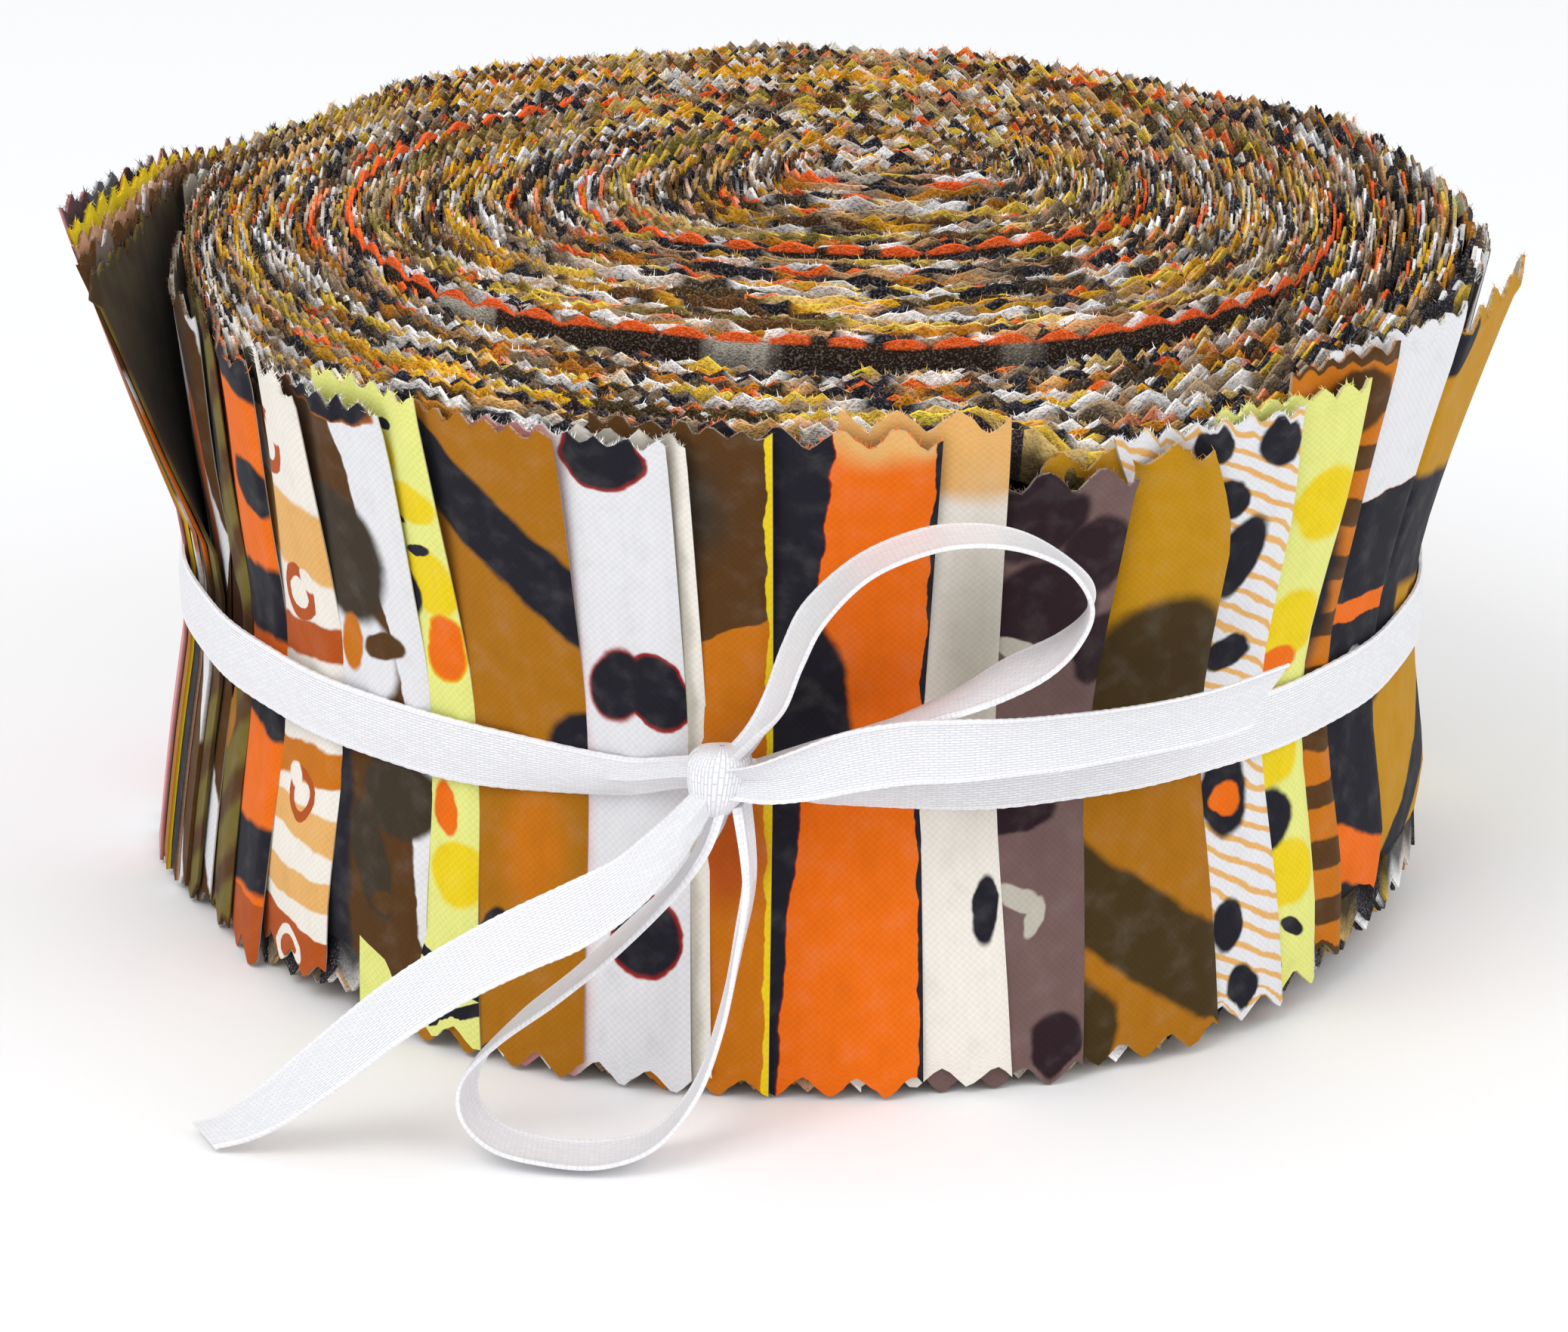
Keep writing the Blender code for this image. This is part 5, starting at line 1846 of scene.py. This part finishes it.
LOWER_LOOP = Run(
    node="ribbon_loop_lower",
    far_end="object",
    ways=(
        Way((-6.4, -61.0, 28.6), across=(-0.3, -0.9, -0.3), half=1.2),
        Way((-7.5, -61.7, 25.2), across=(-0.3, -0.9, -0.3), half=1.6),
        Way((-9.9, -62.8, 21.9), across=(-0.3, -0.9, -0.3), half=2.2),
        Way((-14.2, -64.0, 17.6), across=(-0.3, -0.9, -0.3), half=2.9),
        Way((-19.2, -65.4, 13.4), across=(-0.3, -0.9, -0.2)),
        Way((-24.0, -67.0, 10.0), across=(-0.3, -0.9, -0.1)),
        Way((-27.0, -68.6, 6.9), across=(-0.3, -0.9, 0.0)),
        Way((-27.3, -70.2, 4.0), across=(-0.2, -1.0, 0.0)),
        Way((-24.8, -71.6, 1.7), across=(-0.1, -1.0, 0.0)),
        Way((-20.4, -72.6, 0.9), across=(0.0, -1.0, 0.0)),
        Way((-15.6, -72.9, 0.9), across=(0.0, -1.0, 0.0)),
        Way((-11.2, -72.2, 2.2), across=(0.0, -1.0, 0.1)),
        Way((-7.9, -70.4, 5.8), across=(0.0, -1.0, 0.1)),
        Way((-5.9, -68.0, 11.0), across=(0.0, -1.0, 0.0), half=3.0),
        Way((-4.6, -65.4, 17.0), across=(0.0, -1.0, -0.1), half=2.5),
        Way((-3.8, -63.0, 22.5), across=(0.0, -1.0, -0.2), half=1.9),
        Way((-4.6, -61.1, 28.6), across=(0.0, -1.0, -0.2), half=1.2),
    ),
)


@dataclass
class Ribbon:
    """The satin ribbon: its band round the waist, its knot, two loops and two tails."""

    width: float = 5.7
    thickness: float = 0.34
    steps: int = 12
    band_radius: float = 57.15
    band_lift: float = 0.8
    knot_middle: tuple[float, float, float] = (-6.7, -60.65, 30.2)
    knot_halves: tuple[float, float, float] = (2.6, 2.4, 3.1)
    knot_rows: int = 56
    knot_columns: int = 37
    runs: tuple[Run, ...] = (UPPER_LOOP, LOWER_LOOP, RIGHT_TAIL, LEFT_TAIL)

    def smoothed(self, values: np.ndarray) -> np.ndarray:
        """The smooth curve through some points.

        Args:
            values: The points, row by row.

        Returns:
            The curve's points.
        """
        padded = np.concatenate([values[:1], values, values[-1:]])
        share = np.linspace(0.0, 1.0, self.steps, endpoint=False)[:, None]
        parts = []
        for index in range(len(values) - 1):
            before, start, end, after = padded[index : index + 4]
            square = 2.0 * before - 5.0 * start + 4.0 * end - after
            cube = 3.0 * (start - end) + after - before
            parts.append(0.5 * (2.0 * start + (end - before) * share + square * share**2 + cube * share**3))
        return np.concatenate([*parts, values[-1:]])

    def strip(
        self, line: np.ndarray, across: np.ndarray, half: np.ndarray, slant: float
    ) -> tuple[np.ndarray, ...]:
        """The ribbon's two faces along a line.

        Args:
            line: The middle line's points.
            across: The way its width runs at each.
            half: Half its width at each.
            slant: How much further one corner of the far end reaches than the other.

        Returns:
            The outer points, the inner points and their places on the ribbon.
        """
        across = unit(across)
        along = unit(np.gradient(line, axis=0))
        facing = unit(np.cross(along, across))
        lengths = lengths_along(line)
        sides = np.array([-1.0, -0.94, -0.85, -0.5, 0.0, 0.5, 0.85, 0.94, 1.0])
        gathered = np.clip(1.0 - half / (0.5 * self.width), 0.0, 1.0)[:, None]
        pleats = gathered * 1.1 * np.cos(3.0 * np.pi * sides)[None, :]
        cup = -0.22 * (sides**2)[None, :] * (1.0 - gathered)
        near_end = smooth(lengths, lengths[-1] - 8.0, lengths[-1])[:, None]
        shift = near_end * slant * 0.5 * sides[None, :]
        picot = 1.0 + 0.012 * np.sin(lengths * 2.0 * np.pi / 0.9)[:, None] * (np.abs(sides) > 0.99)[None, :]
        rim = np.where(np.abs(sides) > 0.9, 1.25, 1.0) * np.where(np.abs(sides) > 0.99, 0.6, 1.0)
        middle = (
            line[:, None, :]
            + across[:, None, :] * (half[:, None] * sides[None, :] * picot)[:, :, None]
            + along[:, None, :] * shift[:, :, None]
            + facing[:, None, :] * (pleats + cup)[:, :, None]
        )
        lift = facing[:, None, :] * (0.5 * self.thickness * rim)[None, :, None]
        return middle + lift, middle - lift, on_cloth(lengths[:, None], 0.5 * self.width * sides[None, :])

    def make_runs(self, satin: bpy.types.Material) -> list[bpy.types.Object]:
        """Makes the loops and tails, and hides the model's parts that they take the place of.

        Args:
            satin: The ribbon's material.

        Returns:
            The new pieces.
        """
        made = []
        for run in self.runs:
            line = self.smoothed(np.array([way.place for way in run.ways]))
            across = self.smoothed(np.array([way.across for way in run.ways]))
            half = self.smoothed(np.array([[way.half] for way in run.ways]))[:, 0]
            piece = Pile.of_shell(f"satin_{run.node[7:]}", satin, self.strip(line, across, half, run.slant))
            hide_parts(run.node)
            made.append(piece)
        return made

    def make_band(self, satin: bpy.types.Material) -> bpy.types.Object:
        """Makes the ribbon round the waist, drawn narrow where it goes into the knot.

        Args:
            satin: The ribbon's material.

        Returns:
            The new piece.
        """
        knot = np.degrees(np.arctan2(self.knot_middle[1], self.knot_middle[0]))
        degrees = np.linspace(knot + 2.0, knot + 358.0, 640)
        from_knot = np.minimum(degrees - knot, knot + 360.0 - degrees)
        near = 1.0 - smooth(from_knot, 2.0, 9.0)
        drawn = 1.0 - smooth(from_knot, 1.0, 27.0)
        lift = self.band_lift * smooth(depth_share(degrees), 0.25, 0.9)
        lift -= 0.55 * np.exp(-(((np.mod(degrees, 360.0) - 236.0) / 26.0) ** 2))
        height = FORM.ribbon_height + lift + near * (self.knot_middle[2] - FORM.ribbon_height) * 0.8
        radius = self.band_radius + near * 1.6 + 0.08 * np.sin(np.radians(degrees * 23.0))
        line = on_circle(degrees, radius, height)
        across = np.tile([0.0, 0.0, 1.0], (len(degrees), 1))
        half = 0.5 * self.width * (1.0 - 0.5 * drawn)
        piece = Pile.of_shell("satin_band", satin, self.strip(line, across, half, 0.0))
        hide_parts("ribbon_band")
        return piece

    @staticmethod
    def squared(value: np.ndarray, power: float) -> np.ndarray:
        """The value raised to this power with its sign kept, which makes a round course squarer."""
        return np.sign(value) * np.abs(value) ** power

    def make_knot(self, satin: bpy.types.Material) -> bpy.types.Object:
        """Makes the knot: a drawn-in pillow with the creases of the ribbon that is pulled over it.

        Args:
            satin: The ribbon's material.

        Returns:
            The new piece.
        """
        up = np.linspace(0.02, np.pi - 0.02, self.knot_columns)[None, :]
        turn = np.linspace(0.0, 2.0 * np.pi, self.knot_rows + 1)[:, None]
        round_part = np.sin(up) ** 0.7
        x = round_part * self.squared(np.cos(turn), 0.75)
        y = round_part * self.squared(np.sin(turn), 0.75)
        z = self.squared(np.cos(up), 0.7) + 0.0 * turn
        crease = 1.0 - 0.1 * (0.5 + 0.5 * np.cos(3.4 * np.pi * (x + 0.2 * z))) * (1.0 - 0.4 * np.abs(z))
        x = (x + 0.1 * z) * (1.0 + 0.24 * z)
        unit_knot = np.stack([x, y * crease, z], axis=-1) * np.array(self.knot_halves)
        middle = np.array(self.knot_middle)
        shell = (unit_knot + middle, unit_knot * 0.86 + middle, on_cloth(up * 3.0, 2.2 * np.cos(turn)))
        piece = Pile.of_shell("satin_knot", satin, shell)
        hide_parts("ribbon_knot")
        return piece

    def build(self) -> list[bpy.types.Object]:
        """Makes the whole ribbon, the free stretches first."""
        satin = SatinFinish().material()
        return [*self.make_runs(satin), self.make_band(satin), self.make_knot(satin)]


@dataclass
class Core:
    """The middle of the winding, coloured dark as painted shade, which shows only deep between its turns."""

    radius: float = 54.5
    foot: float = 5.2
    top: float = 56.6

    def build(self) -> bpy.types.Object:
        """Makes the core from a drum with a rounded rim.

        Returns:
            The new piece.
        """
        bpy.ops.object.select_all(action="DESELECT")
        middle = 0.5 * (self.foot + self.top) * MM
        bpy.ops.mesh.primitive_cylinder_add(
            vertices=96,
            radius=self.radius * MM,
            depth=(self.top - self.foot) * MM,
            location=(0.0, 0.0, middle),
        )
        core = bpy.context.active_object
        core.name = "winding_core"
        core.data.name = "winding_core"
        bpy.ops.object.transform_apply(location=True, rotation=True, scale=True)
        bpy.ops.object.mode_set(mode="EDIT")
        bpy.ops.mesh.select_all(action="SELECT")
        bpy.ops.mesh.bevel(offset=2.0 * MM, segments=2, affect="EDGES")
        bpy.ops.object.mode_set(mode="OBJECT")
        core.data.shade_smooth()
        core.data.materials.append(CoreFinish().material())
        return core


@dataclass(frozen=True)
class CoreFinish:
    """Packed cotton between the turns, coloured dark as painted shade."""

    name: str = "packed_cotton_painted_shade"

    def material(self) -> bpy.types.Material:
        """Makes the dark brown painted shade of a cloth with fine uneven layers."""
        graph = Graph(self.name)
        layers = graph.noise(graph.wire("TexCoord", output="Object"), 900.0, 3.0)
        # Painted shade: the dark colours stand in for the shade deep inside the winding.
        colour = graph.mix(layers, Dye.AUBERGINE.linear, Dye.DARK_BROWN.linear)
        return graph.finish({"Base Color": colour, "Roughness": 0.95, "Specular IOR Level": 0.1})


@dataclass
class Studio:
    """The camera, the white floor and the soft light."""

    eye: tuple[float, float, float] = (0.0, -0.6, 0.242)
    lens: float = 158.3
    right: tuple[float, float, float] = (0.99983295, 0.00845317, 0.01620539)
    up: tuple[float, float, float] = (-0.0181388, 0.3498385, 0.9366344)
    forward: tuple[float, float, float] = (-0.00224826, 0.93677189, -0.34993339)
    world: float = 0.83
    floor_size: float = 6.0
    floor_colour: tuple[float, ...] = (0.97, 0.972, 0.98, 1.0)

    def camera(self) -> None:
        """Places the camera at the photograph's viewpoint."""
        camera = bpy.data.cameras.new("camera")
        camera.lens = self.lens
        camera.sensor_width = 36.0
        camera.clip_start = 0.01
        holder = bpy.data.objects.new("camera", camera)
        bpy.context.scene.collection.objects.link(holder)
        axes = Matrix((self.right, self.up, tuple(-part for part in self.forward))).transposed()
        holder.matrix_world = Matrix.Translation(Vector(self.eye)) @ axes.to_4x4()
        bpy.context.scene.camera = holder

    def floor(self) -> None:
        """Makes the white table top."""
        bpy.ops.object.select_all(action="DESELECT")
        bpy.ops.mesh.primitive_plane_add(size=self.floor_size, location=(0.0, 0.0, 0.0))
        floor = bpy.context.active_object
        floor.name = "floor"
        surface = {"Base Color": self.floor_colour, "Roughness": 0.7, "Specular IOR Level": 0.2}
        floor.data.materials.append(Graph("white_table").finish(surface))

    def light(self, name: str, place: tuple, target: tuple, size: float, watts: float) -> None:
        """Adds one soft square light.

        Args:
            name: The light's name.
            place: Where it is, in metres.
            target: What it looks at.
            size: The length of its sides.
            watts: Its strength.
        """
        lamp = bpy.data.lights.new(name, "AREA")
        lamp.size = size
        lamp.energy = watts
        holder = bpy.data.objects.new(name, lamp)
        bpy.context.scene.collection.objects.link(holder)
        holder.location = place
        holder.rotation_euler = (Vector(target) - Vector(place)).to_track_quat("-Z", "Y").to_euler()

    def build(self) -> None:
        """Sets the camera, floor, world and lights."""
        self.camera()
        self.floor()
        world = bpy.data.worlds.new("studio")
        world.use_nodes = True
        world.node_tree.nodes["Background"].inputs["Color"].default_value = (0.98, 0.99, 1.0, 1.0)
        world.node_tree.nodes["Background"].inputs["Strength"].default_value = self.world
        bpy.context.scene.world = world
        bpy.context.scene.view_settings.view_transform = "Standard"
        self.light("key", (-0.35, -0.5, 0.75), (0.0, 0.0, 0.03), 0.5, 2.7)
        self.light("fill", (0.6, -0.3, 0.5), (0.0, 0.0, 0.03), 0.6, 1.2)


def main() -> None:
    """Builds the studio, the ribbon, the strips, the layers and the loose end in order."""
    logging.basicConfig(level=logging.INFO, format="%(name)s: %(message)s")
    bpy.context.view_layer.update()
    Studio().build()
    ribbon = Ribbon().build()
    shingles = Shingles()
    sides = shingles.build()
    loose_end = LooseEnd()
    loose = loose_end.build()
    layers = WoundLayers().build(shingles.strips(), [*shingles.tops, *loose_end.tops])
    core = Core().build()
    for piece in (*sides, *layers, core):
        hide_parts("roll")
    for piece in loose:
        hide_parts("loose_end")
    for piece in (*ribbon, *sides, *layers, core, *loose):
        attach(piece, "root")
        LOG.info("%s rides on the roll", piece.name)


if __name__ == "__main__":
    main()
